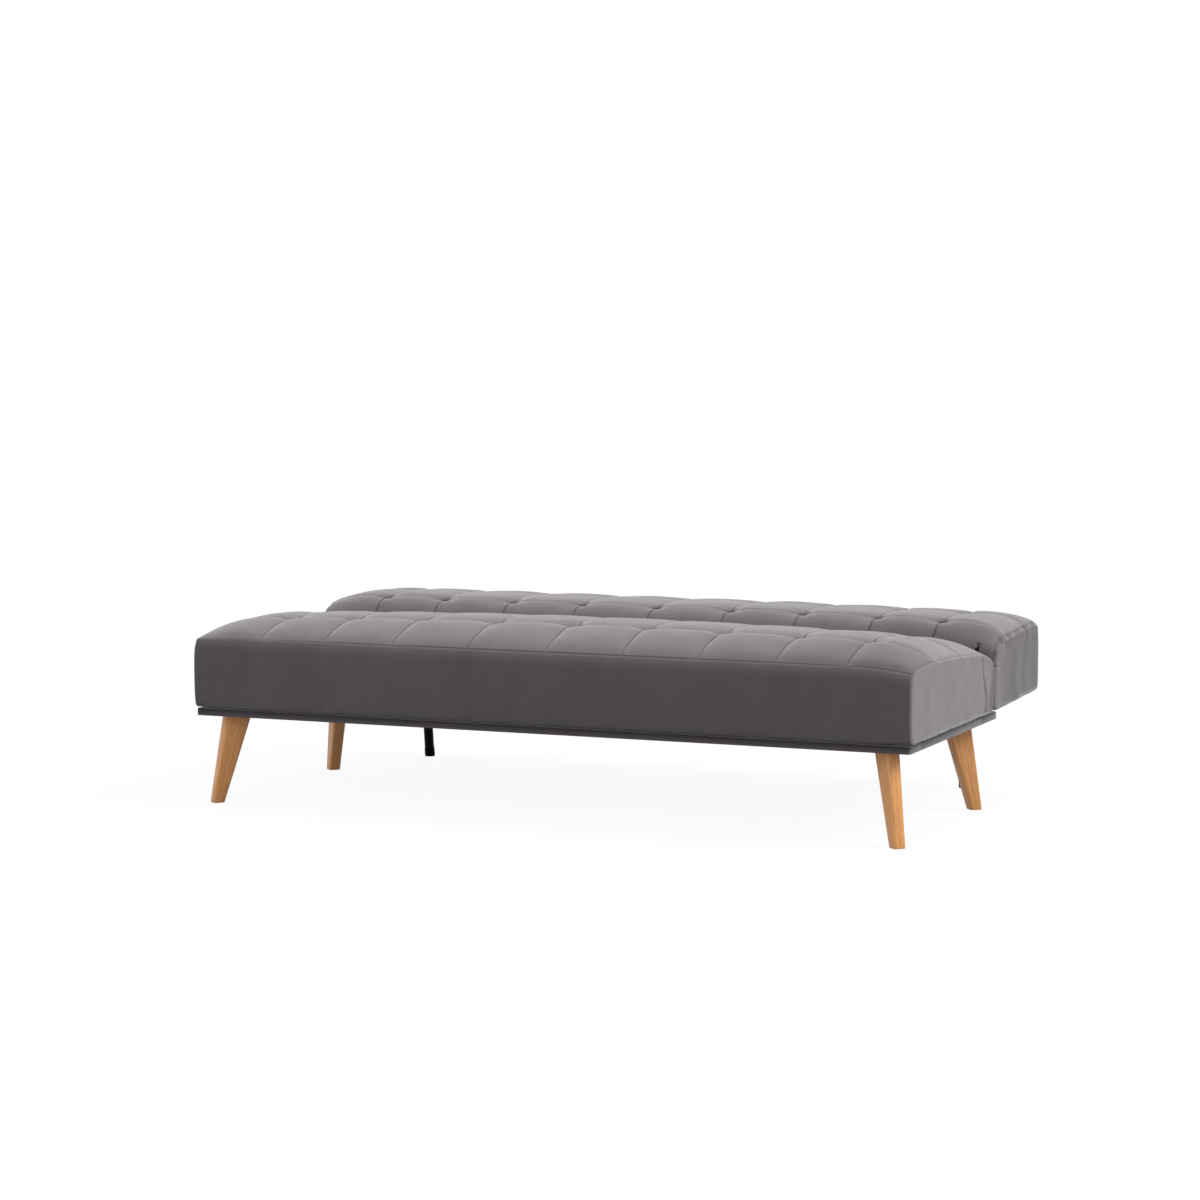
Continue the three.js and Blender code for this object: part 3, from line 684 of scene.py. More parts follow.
    def fill_end(self):
        """Points inside the end ring, as places (y, z), and the triangles that join them to it."""
        rim = self.rings[-1][:, 1:]
        ahead = np.roll(rim, -1, 0) - np.roll(rim, 1, 0)
        inward = np.column_stack([ahead[:, 1], -ahead[:, 0]])
        inward /= np.linalg.norm(inward, axis=1)[:, None]
        rows = [rim + inward * inset for inset in RIM_INSETS]
        low, high = rim.min(0), rim.max(0)
        ys = np.arange(low[0], high[0], END_GRID)
        zs = np.arange(low[1], high[1], END_GRID * 0.87)
        grid = np.array([(y + (j % 2) * END_GRID / 2, z) for j, z in enumerate(zs) for y in ys])
        inner = grid[self.inside(grid, rim)]
        inner = inner[self.depth(inner, rim) > RIM_INSETS[-1] + END_GRID * 0.6]
        if "end_seam" in self.section:
            apart, line, behind = self.seam_distance(inner)
            inner = inner[(apart < GUIDED[0]) | (apart > GUIDED[1])]
            guides = np.vstack([line[::2] + behind[::2] * shift * MM for shift in SEAM_GUIDES])
            guides = guides[self.inside(guides, rim)]
            rows.append(guides[self.depth(guides, rim) > RIM_INSETS[-1] + 2 * MM])
        places = np.vstack([rim, *rows, inner])
        n = len(rim)
        loop = [(i, (i + 1) % n) for i in range(n)]
        made = delaunay_2d_cdt([Vector(place) for place in places / MM], loop, [], 1, 1e-3)
        source = [min(ids) for ids in made[3]]
        triangles = [[source[i] for i in face] for face in made[2]]
        used = sorted({i for face in triangles for i in face if i >= n})
        place_of = {i: n + k for k, i in enumerate(used)} | {i: i for i in range(n)}
        self.end_triangles = [[place_of[i] for i in face] for face in triangles]
        self.end_places = places[used]
        self.end_depth = self.depth(self.end_places, rim)

    @staticmethod
    def inside(places, rim):
        following = np.roll(rim, -1, 0)
        y, z = places[:, 0][:, None], places[:, 1][:, None]
        crosses = (rim[:, 1] > z) != (following[:, 1] > z)
        rise = np.where(following[:, 1] == rim[:, 1], 1e-12, following[:, 1] - rim[:, 1])
        at = rim[:, 0] + (z - rim[:, 1]) * (following[:, 0] - rim[:, 0]) / rise
        return ((crosses & (y < at)).sum(1) % 2) == 1

    @staticmethod
    def depth(places, rim):
        """Distance from each place to the rim."""
        step = np.roll(rim, -1, 0) - rim
        length = (step**2).sum(1)
        apart = places[:, None] - rim[None]
        along = np.clip((apart * step).sum(2) / length, 0, 1)
        return np.linalg.norm(apart - along[:, :, None] * step, axis=2).min(1)

    def build_points(self):
        swell = END_SWELL * (1 - np.exp(-self.end_depth / END_SWELL_REACH)) + self.end_relief()
        caps = [np.column_stack([sign * (self.rim_x + swell), self.end_places]) for sign in (-1, 1)]
        self.body = self.rings.size // 3
        self.points = np.vstack([self.rings.reshape(-1, 3), *caps])
        left = np.clip((-self.points[:, 0] - LAST_SEAM) / (self.rim_x - LAST_SEAM), 0, 1)
        self.points[:, 0] -= self.section["left_reach"] * MM * left**2
        self.points[:, 0] -= self.spread(self.leaning())

    def leaning(self):
        """How far the column seams lean to the left in the front row, most at its edge."""
        row = self.girth[self.seam_rows[0]] - self.girth[self.front_edge]
        ahead = np.clip((self.girth[self.seam_rows[0]] - self.girth) / row, 0, 1)
        panel = np.clip(self.girth / self.girth[self.front_edge], 0, 1)
        return np.outer(1 - self.past_last_seam(self.xs)**2, self.section["lean"] * MM * ahead * panel)

    def end_relief(self):
        """How far the end panels rise or sink for their seam, puckers and soft upright folds."""
        y, z = self.end_places.T
        relief = np.zeros(len(y))
        self.end_crease = np.zeros(len(y))
        if "end_seam" in self.section:
            apart, _, _ = self.seam_distance(self.end_places)
            ahead, back = CREASE_CUT_WIDTHS
            cut = np.where(apart < 0, groove(apart, ahead), groove(apart, back))
            behind = 1 - np.exp(-np.clip(apart, 0, None) / (4 * MM))
            off_rim = np.clip(self.end_depth / (12 * MM), 0, 1)
            low = np.clip((z - CREASE_LOW[0]) / (CREASE_LOW[1] - CREASE_LOW[0]), 0, 1)
            fall = CREASE_FALL[0] + (CREASE_FALL[1] - CREASE_FALL[0]) * low
            relief -= (CREASE_CUT * cut + fall * behind) * off_rim
            # The dark band behind the seam is painted shade, in the crease where the strip falls back
            shade = CREASE_SHADE[0] + (CREASE_SHADE[1] - CREASE_SHADE[0]) * low
            inside = 1 / (1 + np.exp((apart - shade) / (2.5 * MM)))
            self.end_crease = inside * (apart > -2 * MM) * off_rim * (0.8 + 0.2 * low)
        top = np.interp(y, *self.rim_top())
        below = np.clip(top - z, 0, None)
        for seam in self.seam_rows:
            seam_y = self.rings[-1][seam, 1]
            fan = (y - seam_y) / (9 * MM + below * 0.35)
            pucker = RIM_PUCKER * self.section["rim_puckers"]
            relief -= pucker * np.exp(-fan**2) * np.exp(-below / (28 * MM))
        folds = self.section["end_folds"] * MM
        sway = 1.6 * np.sin(z * 21 + 1.3) + 0.9 * np.sin(y * 17)
        wave = np.sin(y * 62 + sway) + 0.7 * np.sin(y * 37 + 1.7 * sway + 2.0)
        relief += folds * wave * np.clip(self.end_depth / (25 * MM), 0, 1)
        return relief

    def nap_and_painted_shade(self):
        """Share of painted shade mixed into the pile's colour at each point, on the faces, rows and ends that get
        less light.
        """
        shares = self.section["nap_and_painted_shade"]
        each = [shares["rows"][tag[1]] if tag[0] == "row" else shares[tag[0]] for tag in self.tags]
        near, far = shares["ends"]
        back = np.clip((self.end_places[:, 0] - self.end_places[:, 0].min()) / END_SHADE_RAMP, 0, 1)
        # Painted shade just behind the front edge, and a painted highlight on the lip below it, where the shade of
        # the front is halved
        from_edge = self.girth - self.girth[self.front_edge]
        near_edge = FRONT_SHADE * (self.row_of == 0) * groove(from_edge, FRONT_SHADE_REACH)
        below_edge = np.clip(-from_edge, 0, None)
        lip_highlight = np.array([tag[0] == "front" for tag in self.tags]) * groove(below_edge, LIP)
        # The painted shade fades out into the corners, and grows on the front row towards the right end
        into_corner = np.clip((np.abs(self.xs) - self.rim_x + self.corner) / self.corner, 0, 1)
        table = np.outer(1 - into_corner**3, np.array(each) * (1 - 0.5 * lip_highlight) + near_edge)
        rightwards = np.clip(self.xs / self.rim_x, 0, 1) ** 2
        table = table + np.outer(rightwards * (1 - into_corner**3), shares["right"] * (self.row_of == 0))
        return self.spread(table, near + (far - near) * back**2 * (3 - 2 * back))

    def rim_top(self):
        """Heights of the rim's upper side, from front to rear."""
        upper = self.rings[-1][self.front_edge:self.rear_edge + 1]
        order = np.argsort(upper[:, 1])
        return upper[order, 1], upper[order, 2]

    def build_faces(self):
        n = self.count
        faces = []
        for low in range(0, self.body - n, n):
            for i in range(n):
                j = (i + 1) % n
                faces.append((low + i, low + n + i, low + n + j, low + j))
        last = left = self.body - n
        right = left + len(self.end_places)
        for face in self.end_triangles:
            faces.append(tuple(i if i < n else left + i for i in reversed(face)))
            faces.append(tuple(last + i if i < n else right + i for i in face))
        self.faces = faces

    def spread(self, values, ends=0.0):
        """One value for each point, from a (station, place) table and the value of the end panels."""
        ends = np.broadcast_to(ends, len(self.end_places))
        return np.concatenate([values.ravel(), ends, ends])

    def lift(self):
        """Puffs as the filling presses them out: full in the middle of each, part of it along the seams."""
        past = self.past_last_seam(self.xs)
        station = np.arange(len(self.xs))
        first, last = station < self.column_seams[0], station >= self.column_seams[-1]
        across = puff_profile(self.column_phase, first, last) * (1 - past**2 / 2)
        across = SEAM_SHARE * (1 - past**4) + (1 - SEAM_SHARE) * across
        around = puff_profile(self.row_phase, self.row_of == 0, self.row_of == len(self.section["rows"]) - 1)
        around = self.roll() * (SEAM_SHARE + (1 - SEAM_SHARE) * around)
        side = np.where(self.on_side, np.sin(np.pi * self.side_share()), 0)[None] * (1 - past**2)[:, None]
        puffs = self.puff * np.outer(across, around * self.on_top)
        return self.spread(puffs + settings().face_swell * side)

    def roll(self):
        """How far each place in the ring has risen behind the front and the rear edge, from 0 to 1."""
        front, rear = self.section["edge_rolls"]
        behind_front = np.clip(self.girth - self.girth[self.front_edge], 0, None)
        before_rear = np.clip(self.girth[self.rear_edge] - self.girth, 0, None)
        return (1 - np.exp(-behind_front / front)) * (1 - np.exp(-before_rear / rear))

    def side_share(self):
        share = np.zeros(self.count)
        for name, start, stop in (("front", 0, self.front_edge), ("rear", self.rear_edge, None)):
            length = PANEL_STEPS[name]
            share[start:start + length] = np.arange(length) / length
        return share

    def held(self):
        """Points that the sewing holds: all but the insides of the puffs."""
        free = np.outer(self.column_phase > 0, self.on_top & (self.row_phase > 0))
        return ~self.spread(free.astype(float)).astype(bool)

    def index(self, station, i):
        return station * self.count + i

    def girth_index(self, girth):
        return int(np.abs(self.girth - girth).argmin())

    def topstitch(self):
        """Places in the ring of the second stitch line, below the front and the rear edge."""
        return (self.girth_index(self.girth[self.front_edge] - TOPSTITCH),
                self.girth_index(self.girth[self.rear_edge] + TOPSTITCH))

    def from_seams(self):
        """Signed distances of each ring point across x and along the girth from its nearest seams."""
        seam_x = self.xs[self.column_seams]
        seam_girth = self.girth[self.seam_rows]
        dx = self.xs - seam_x[np.abs(self.xs[:, None] - seam_x).argmin(1)]
        dg = self.girth - seam_girth[np.abs(self.girth[:, None] - seam_girth).argmin(1)]
        return dx[:, None], dg[None]

    def seam_lines(self):
        """Point lists of each seam, to sew along."""
        stations = range(len(self.xs))
        rows = [[self.index(s, i) for s in stations] for i in (*self.seam_rows, *self.topstitch())]
        places = range(self.front_edge, self.rear_edge + 1)
        columns = [[self.index(s, i) for i in places] for s in self.column_seams]
        near_rim = int(np.abs(self.xs - (self.rim_x - RIM_STITCH)).argmin())
        rims = [[self.index(s, i) for i in range(self.rear_edge + PANEL_STEPS["rear"])]
                for s in (len(self.xs) - 1 - near_rim, near_rim)]
        return [*rows, *columns, *rims]


# Cloth settings of the filling, which presses the cloth out between its seams
CLOTH = {
    "quality": 5,
    "mass": 0.25,
    "tension_stiffness": 18,
    "compression_stiffness": 12,
    "shear_stiffness": 6,
    "bending_stiffness": 0.4,
    "air_damping": 2.0,
    "vertex_group_mass": "sewn",
    "use_pressure": True,
}


def fill_with_cloth(piece, pinned):
    """Lets the filling press the cloth out between its seams, and returns the pressed points."""
    values = settings()
    sewn = piece.vertex_groups.new(name="sewn")
    sewn.add([int(i) for i in np.nonzero(pinned)[0]], 1.0, "REPLACE")
    cloth = piece.modifiers.new("filling", "CLOTH")
    for name, value in CLOTH.items():
        setattr(cloth.settings, name, value)
    cloth.settings.shrink_min = -values.cloth_growth
    cloth.settings.uniform_pressure_force = values.pressure
    cloth.settings.effector_weights.gravity = 0
    cloth.collision_settings.use_collision = False
    cloth.collision_settings.use_self_collision = False
    cloth.point_cache.frame_start = 1
    cloth.point_cache.frame_end = values.fill_frames
    scene = bpy.context.scene
    for step in range(1, values.fill_frames + 1):
        scene.frame_set(step)
    graph = bpy.context.evaluated_depsgraph_get()
    pressed = mesh_points(piece.evaluated_get(graph).data)
    piece.modifiers.remove(cloth)
    piece.vertex_groups.clear()
    scene.frame_set(1)
    return pressed


def settled(form, moved):
    """The cloth's move, smoothed between neighbours and fading out towards the seams."""
    table = moved[:form.body].reshape(len(form.xs), form.count, 3)
    for _ in range(SMOOTH_PASSES):
        for axis in (0, 1):
            table = 0.5 * table + 0.25 * (np.roll(table, 1, axis) + np.roll(table, -1, axis))
    dx, dg = form.from_seams()
    edges = form.girth[[form.front_edge, form.rear_edge]]
    from_edge = np.abs(form.girth[:, None] - edges).min(1)
    nearest = np.minimum(np.minimum(np.abs(dx), np.abs(dg)), from_edge[None])
    free = (1 - groove(nearest, SEAM_HOLD)) * form.on_top * form.roll()
    free = free * (np.abs(form.xs) < form.rim_x)[:, None]
    return np.vstack([(table * free[:, :, None]).reshape(-1, 3), np.zeros((len(moved) - form.body, 3))])


def capped(moved, limit):
    """Shortens each move smoothly so that none is longer than its limit."""
    size = np.linalg.norm(moved, axis=1)
    allowed = limit * np.tanh(size / limit)
    return moved * (allowed / np.maximum(size, 1e-9))[:, None]


def seam_relief(form):
    """How deep the seams, tufts, creases and edges lie, and the painted shade in them, along the hems and in the
    end seam's crease.
    """
    values = settings()
    width = values.groove_width
    x = form.xs[:, None]
    girth = form.girth[None]
    dx, dg = form.from_seams()
    top = form.on_top[None].astype(float)
    column = groove(dx, width) * top
    row = groove(dg, width) * top
    from_tuft = np.sqrt(dx**2 + dg**2)
    tuft = groove(from_tuft, TUFT_REACH) * top
    dimple = groove(from_tuft, DIMPLE_REACH) * top
    creases = 0
    for slope in TUFT_CREASES:
        across = np.abs(dg * slope - dx) / math.hypot(1, slope)
        creases = creases + groove(across, CREASE_WIDTH) * groove(from_tuft, TUFT_REACH)
    edges = 0
    stitched = 0
    for edge, second in zip((form.front_edge, form.rear_edge), form.topstitch()):
        edges = edges + groove(girth - form.girth[edge], width * 0.7)
        stitched = stitched + groove(girth - form.girth[second], width * 0.8)
    to_rim = form.rim_x - np.abs(x)
    pull = 0.5 + 0.3 * np.sin(girth * 83 + 1) + 0.2 * np.sin(girth * 171)
    puckers = form.section["rim_puckers"] * pull * top
    rim_line = groove(to_rim - RIM_STITCH, 2 * MM) * top
    rim_pull = groove(to_rim - RIM_STITCH / 2, 5 * MM) * puckers
    piping = groove(to_rim, 2.2 * MM) * top * (1 - form.section["rim_puckers"])
    depth = values.groove_depth * np.maximum(np.maximum(column, 0.75 * row), 0.75 * edges)
    depth = depth + values.tuft_depth * tuft + values.dimple_depth * dimple + CREASE_DEPTH * creases * top
    depth = depth + 0.2 * MM * stitched + 0.8 * MM * rim_line + 3 * MM * rim_pull - 0.7 * MM * piping
    # Painted shade in the seams, most near the tufts, along the edges, the rim stitching and its puckers, the hems
    # and the tuft creases
    near_tuft = groove(from_tuft, 2 * TUFT_REACH)
    seams = np.maximum((0.5 + 0.4 * near_tuft) * column, (0.18 + 0.5 * near_tuft) * row)
    dark = np.maximum(seams, np.maximum(0.75 * edges, 0.2 * rim_line + 0.8 * rim_pull))
    dark = np.maximum(dark, groove(girth, HEM_SHADE) + groove(girth - form.girth[-1], HEM_SHADE))
    dark = np.clip(np.maximum(dark, dimple) + 0.25 * creases * top, 0, 1)
    return form.spread(depth), form.spread(dark, form.end_crease)


def set_points(piece, points):
    piece.data.vertices.foreach_set("co", points.ravel())
    piece.data.update()
    return mesh_normals(piece.data)


def make_cushion(name, section, puff, material):
    form = CushionForm(section, puff)
    piece = new_piece(name, form.points, form.faces, material)
    puffed = form.points + mesh_normals(piece.data) * form.lift()[:, None]
    set_points(piece, puffed)
    pressed = fill_with_cloth(piece, form.held())
    puffed = puffed + settled(form, capped(pressed - puffed, settings().cloth_limit))
    normals = set_points(piece, puffed)
    depth, dark = seam_relief(form)
    set_points(piece, puffed + normals * (soft_ripples(puffed) - depth)[:, None])
    # Painted shade of the seams, tufts, creases and hems, and of the pile where less light falls
    set_shades(piece.data, "fold", dark)
    set_shades(piece.data, "nap_and_painted_shade", form.nap_and_painted_shade())
    return piece, form


def soft_ripples(points):
    """Slight unevenness of padded cloth, from a few fixed waves."""
    x, y, z = points.T
    wave = (np.sin(x * 23 + np.sin(y * 31) * 1.3) * np.sin(y * 27 + z * 19 + 0.7)
            + 0.5 * np.sin(x * 51 + z * 67 + 1.9) * np.sin(y * 59 + 0.4))
    return 0.6 * MM * wave


def cut_slots(piece, slots):
    """Cuts the slots on both sides, and gives the points along the cuts the shades of their neighbours.

    A slot is a prism with a (y, z) outline in section millimetres, between two x places.
    """
    tree = KDTree(len(piece.data.vertices))
    for i, point in enumerate(mesh_points(piece.data)):
        tree.insert(point, i)
    tree.balance()
    shades = {label: mesh_shades(piece.data, label) for label in ("fold", "nap_and_painted_shade")}
    for outline, x_range in slots:
        n = len(outline)
        faces = [tuple(reversed(range(n))), tuple(range(n, 2 * n))]
        faces += [(i, (i + 1) % n, n + (i + 1) % n, n + i) for i in range(n)]
        for sign in SIDES.values():
            xs = sorted(sign * x for x in x_range)
            vertices = [(x, BASE_FRONT + y * MM, z * MM) for x in xs for y, z in outline]
            tool = new_piece("slot", vertices, faces, piece.data.materials[0], smooth=False)
            with editing(tool.data) as shape:
                bmesh.ops.recalc_face_normals(shape, faces=shape.faces)
            apply_boolean(piece, "DIFFERENCE", tool)
    nearest = [tree.find(point)[1] for point in mesh_points(piece.data)]
    for label, values in shades.items():
        set_shades(piece.data, label, values[nearest])


def dress(piece, body, slot, *replaced):
    """Says which CAD nodes a piece stands for and which body it rides on; the slot argument is not used."""
    if replaced:
        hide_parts(*replaced)
    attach(piece, body)


# Rows of stitches, by Geometry Nodes

STITCH_RISE = 0.1 * MM  # how far a stitch's middle lies above the cloth
STITCH_SHARE = 0.4  # half of a stitch's length as a share of the pitch


def stitch_tree():
    tree, given, result = new_tree(
        "Row of stitches", "GeometryNodeTree",
        {"Geometry": ("Geometry",), "Pitch": ("Float",), "Radius": ("Float",), "Material": ("Material",)},
        {"Geometry": ("Geometry",)})
    line = node(tree, "GeometryNodeMeshToCurve", {"Mesh": given["Geometry"]})
    spaced = node(tree, "GeometryNodeResampleCurve", {"Curve": line, "Length": given["Pitch"]}, mode="LENGTH")
    tangent = node(tree, "GeometryNodeInputTangent")
    turn = node(tree, "FunctionNodeAlignRotationToVector", {"Vector": tangent}, axis="X")
    thread = node(tree, "GeometryNodeMeshUVSphere", {"Segments": 6, "Rings": 4, "Radius": given["Radius"]})
    pitch = arithmetic(tree, "DIVIDE", given["Pitch"], given["Radius"])
    stretched = arithmetic(tree, "MULTIPLY", pitch, STITCH_SHARE)
    size = node(tree, "ShaderNodeCombineXYZ", {"X": stretched, "Y": 1.0, "Z": 1.0})
    stitch = node(tree, "GeometryNodeTransform", {"Geometry": thread, "Scale": size})
    placed = node(tree, "GeometryNodeInstanceOnPoints", {
        "Points": spaced, "Instance": stitch, "Rotation": turn})
    real = node(tree, "GeometryNodeRealizeInstances", {"Geometry": placed})
    finished = node(tree, "GeometryNodeSetMaterial", {"Geometry": real, "Material": given["Material"]})
    feed(tree, result["Geometry"], finished)
    return tree


def run_tree(piece, tree, values):
    """Gives a piece a Geometry Nodes tree with its inputs set, and turns the result into its mesh."""
    modifier = piece.modifiers.new(tree.name, "NODES")
    modifier.node_group = tree
    sockets = {item.name: item.identifier for item in tree.interface.items_tree if item.in_out == "INPUT"}
    for label, value in values.items():
        modifier[sockets[label]] = value
    piece.update_tag()
    flatten(piece)


COVERS = {}


def make_stitches(body):
    points, normals, lines = COVERS[body]
    raised = points + normals * STITCH_RISE
    vertices, edges = [], []
    for line in lines:
        start = len(vertices)
        vertices += [tuple(point) for point in raised[line]]
        edges += [(start + i, start + i + 1) for i in range(len(line) - 1)]
    mesh = bpy.data.meshes.new("seams")
    mesh.from_pydata(vertices, edges, [])
    piece = place(f"{body}_stitches", mesh)
    run_tree(piece, bpy.data.node_groups.get("Row of stitches") or stitch_tree(), {
        "Pitch": settings().stitch_pitch, "Radius": settings().stitch_radius,
        "Material": MATERIALS["thread"]})
    dress(piece, body, "velvet")


# Boards, legs and metal


def united(sources):
    """The mesh of one or more CAD nodes, with the joints between them gone."""
    pieces = []
    for source in sources:
        mesh = bpy.data.meshes.new(source)
        with editing(frame["nodes"][source].data, mesh) as shape:
            join_points(shape, 1e-5)
        pieces.append(place(source, mesh))
    first, *others = pieces
    for other in others:
        apply_boolean(first, "UNION", other)
    mesh = first.data
    bpy.data.objects.remove(first)
    return mesh


def rounded_copy(sources, name, width, segments, material, sharp_from):
    """CAD nodes as one piece, with their flat faces rejoined and their edges rounded."""
    mesh = bpy.data.meshes.new(name)
    with editing(united(sources), mesh) as shape:
        join_points(shape, 1e-5)
        flat = math.radians(2)
        bmesh.ops.dissolve_limit(shape, angle_limit=flat, verts=shape.verts, edges=shape.edges)
        sharp = [e for e in shape.edges if e.is_manifold and e.calc_face_angle(0) > math.radians(25)]
        bmesh.ops.bevel(shape, geom=sharp, offset=width, segments=segments, profile=0.5, affect="EDGES",
                        clamp_overlap=True)
    finish(mesh, material)
    mesh.set_sharp_from_angle(angle=math.radians(sharp_from))
    return place(name, mesh)


def add_grain(piece, start, end, offset):
    """Writes where each point lies in the wood: Z runs along the leg, and offset varies the boards."""
    along = (end - start).normalized()
    side = along.orthogonal().normalized()
    turn = Matrix((side, along.cross(side), along))
    places = [turn @ (v.co - start) + offset for v in piece.data.vertices]
    grain = piece.data.attributes.new("grain", "FLOAT_VECTOR", "POINT")
    grain.data.foreach_set("vector", [c for point in places for c in point])


LATHE_SIDES = 48


def lathe(name, profile, start, end, material):
    """A turned form: (radius, distance) pairs along the line from start to end."""
    along = (end - start).normalized()
    side = along.orthogonal().normalized()
    other = along.cross(side)
    angles = [2 * math.pi * i / LATHE_SIDES for i in range(LATHE_SIDES)]
    vertices = [start + along * distance + (side * math.cos(angle) + other * math.sin(angle)) * radius
                for radius, distance in profile for angle in angles]
    faces = []
    for row in range(len(profile)):
        here, there = row * LATHE_SIDES, (row + 1) % len(profile) * LATHE_SIDES
        for i in range(LATHE_SIDES):
            j = (i + 1) % LATHE_SIDES
            faces.append((here + i, here + j, there + j, there + i))
    piece = new_piece(name, vertices, faces, material)
    with editing(piece.data) as shape:
        join_points(shape, 1e-6)
        bmesh.ops.recalc_face_normals(shape, faces=shape.faces)
    return piece


# The makers


class Maker:
    """What every maker operator shares."""

    bl_options = {"REGISTER", "UNDO"}

    def execute(self, context):
        self.make()
        return {"FINISHED"}


def make_cover(body, section, puff, slots=()):
    piece, form = make_cushion(f"{body}_velvet", section, puff, MATERIALS["velvet"])
    COVERS[body] = (mesh_points(piece.data), mesh_normals(piece.data), form.seam_lines())
    if slots:
        cut_slots(piece, slots)
    dress(piece, body, "velvet", f"{body}_cover")


class SOFABED_OT_seat_cover(Maker, bpy.types.Operator):
    """Make the tufted velvet cover of the seat"""

    bl_idname = "sofabed.seat_cover"
    bl_label = "Seat cover"

    def make(self):
        make_cover("seat", SEAT_SECTION, settings().seat_puff)


class SOFABED_OT_back_cover(Maker, bpy.types.Operator):
    """Make the tufted velvet cover of the backrest"""

    bl_idname = "sofabed.back_cover"
    bl_label = "Backrest cover"

    def make(self):
        make_cover("back", BACK_SECTION, settings().back_puff, LEAF_SLOTS)


class SOFABED_OT_stitches(Maker, bpy.types.Operator):
    """Sew a row of stitches along every seam of both covers"""

    bl_idname = "sofabed.stitches"
    bl_label = "Stitches"

    def make(self):
        for body in COVERS:
            make_stitches(body)


class SOFABED_OT_base_boards(Maker, bpy.types.Operator):
    """Wrap the four boards of the base in one band of velvet"""

    bl_idname = "sofabed.base_boards"
    bl_label = "Base boards"

    def make(self):
        rails = [f"base_{side}_rail" for side in ("front", "rear", "left", "right")]
        piece = rounded_copy(rails, "base_velvet", 3.5 * MM, 4, MATERIALS["velvet"], 40)
        _, y, z = mesh_points(piece.data).T
        # Painted shade mixed into the pile: on the front, less on the other sides, and most on top, in the gap
        # under the seat
        nap_and_painted_shade = np.where(y < BASE_FRONT + 1 * MM, 0.6, 0.25)
        nap_and_painted_shade[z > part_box(rails[0])[1].z - 0.5 * MM] = 0.95
        set_shades(piece.data, "nap_and_painted_shade", nap_and_painted_shade)
        dress(piece, "base", "velvet", *rails)


class SOFABED_OT_wooden_legs(Maker, bpy.types.Operator):
    """Make the four splayed wooden legs"""

    bl_idname = "sofabed.wooden_legs"
    bl_label = "Wooden legs"

    def make(self):
        for i, corner in enumerate(("front_left", "front_right", "rear_left", "rear_right")):
            source = f"leg_{corner}"
            piece = rounded_copy([source], f"{source}_lacquered", 2.2 * MM, 3, MATERIALS["leg_wood"], 35)
            low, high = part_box(source)
            points = mesh_points(frame["nodes"][source].data)
            foot = Vector(points[points[:, 2] < low.z + 1 * MM].mean(0))
            top = Vector(points[points[:, 2] > high.z - 1 * MM].mean(0))
            add_grain(piece, foot, top, Vector((0.31 * i, 0.17 * i, 0.9 * i)))
            dress(piece, "base", "leg_wood", source)


# Profiles of the steel props, in millimetres: [which radius, plus, which place along the leg, plus]
TUBE_TOP = -11
FOOT_TOP = -23
FOOT_SHIFT = -1.6  # the foot's middle, from the middle of its box
PROP_PROFILES = {
    "tube": [
        ["tube", -1.5, "top", 0], ["tube", -0.4, "top", 0], ["tube", 0, "top", 0.5],
        ["tube", 0, "floor", -10], ["tube", -1.5, "floor", -10],
    ],
    "foot": [
        ["tube", 0.1, "floor", -6], ["tube", 0.1, "cap", 0.6], ["foot", -0.8, "cap", 0],
        ["foot", -0.2, "cap", 0.4], ["foot", 0, "cap", 1.4], ["foot", 0, "cap", 6], ["foot", -0.7, "cap", 7],
        ["foot", 0, "cap", 8], ["foot", 0, "floor", -3], ["foot", -1.2, "floor", 1], ["foot", -3, "floor", 3],
        ["axis", 1, "floor", 3], ["axis", 1, "floor", -6],
    ],
}


class SOFABED_OT_steel_props(Maker, bpy.types.Operator):
    """Make the folding steel legs with their rubber feet"""

    bl_idname = "sofabed.steel_props"
    bl_label = "Steel props"

    def make(self):
        for side in SIDES:
            pivot = Vector(JOINTS[f"support_leg_{side}_fold"]["pos_m"])
            boxes = {part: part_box(f"support_leg_{part}_{side}") for part in PROP_PROFILES}
            radii = {part: (high.x - low.x) / 2 for part, (low, high) in boxes.items()} | {"axis": 0}
            foot_low, foot_high = boxes["foot"]
            foot = Vector((pivot.x, (foot_low.y + foot_high.y) / 2 + FOOT_SHIFT * MM, 0))
            length = (foot - pivot).length
            places = {"top": TUBE_TOP * MM, "floor": length, "cap": length + FOOT_TOP * MM}
            for part, slot in (("tube", "black_steel"), ("foot", "rubber")):
                profile = [(radii[radius] + wider * MM, places[level] + further * MM)
                           for radius, wider, level, further in PROP_PROFILES[part]]
                piece = lathe(f"prop_{part}_{side}", profile, pivot, foot, MATERIALS[slot])
                for vertex in piece.data.vertices:
                    vertex.co.z = max(vertex.co.z, 0.0)
                piece.data.set_sharp_from_angle(angle=math.radians(40))
                dress(piece, f"support_leg_{side}", slot, f"support_leg_{part}_{side}")


LINING_GRID = (84, 30)
LINING_THICKNESS = 0.5 * MM
LINING_MARGIN = 1.4 * MM  # what its rise from front to rear is less than its box is high
LINING_LOW = 0.9 * MM
LINING_WAVE = 0.35 * MM
LINING_SAG = 0.48 * MM


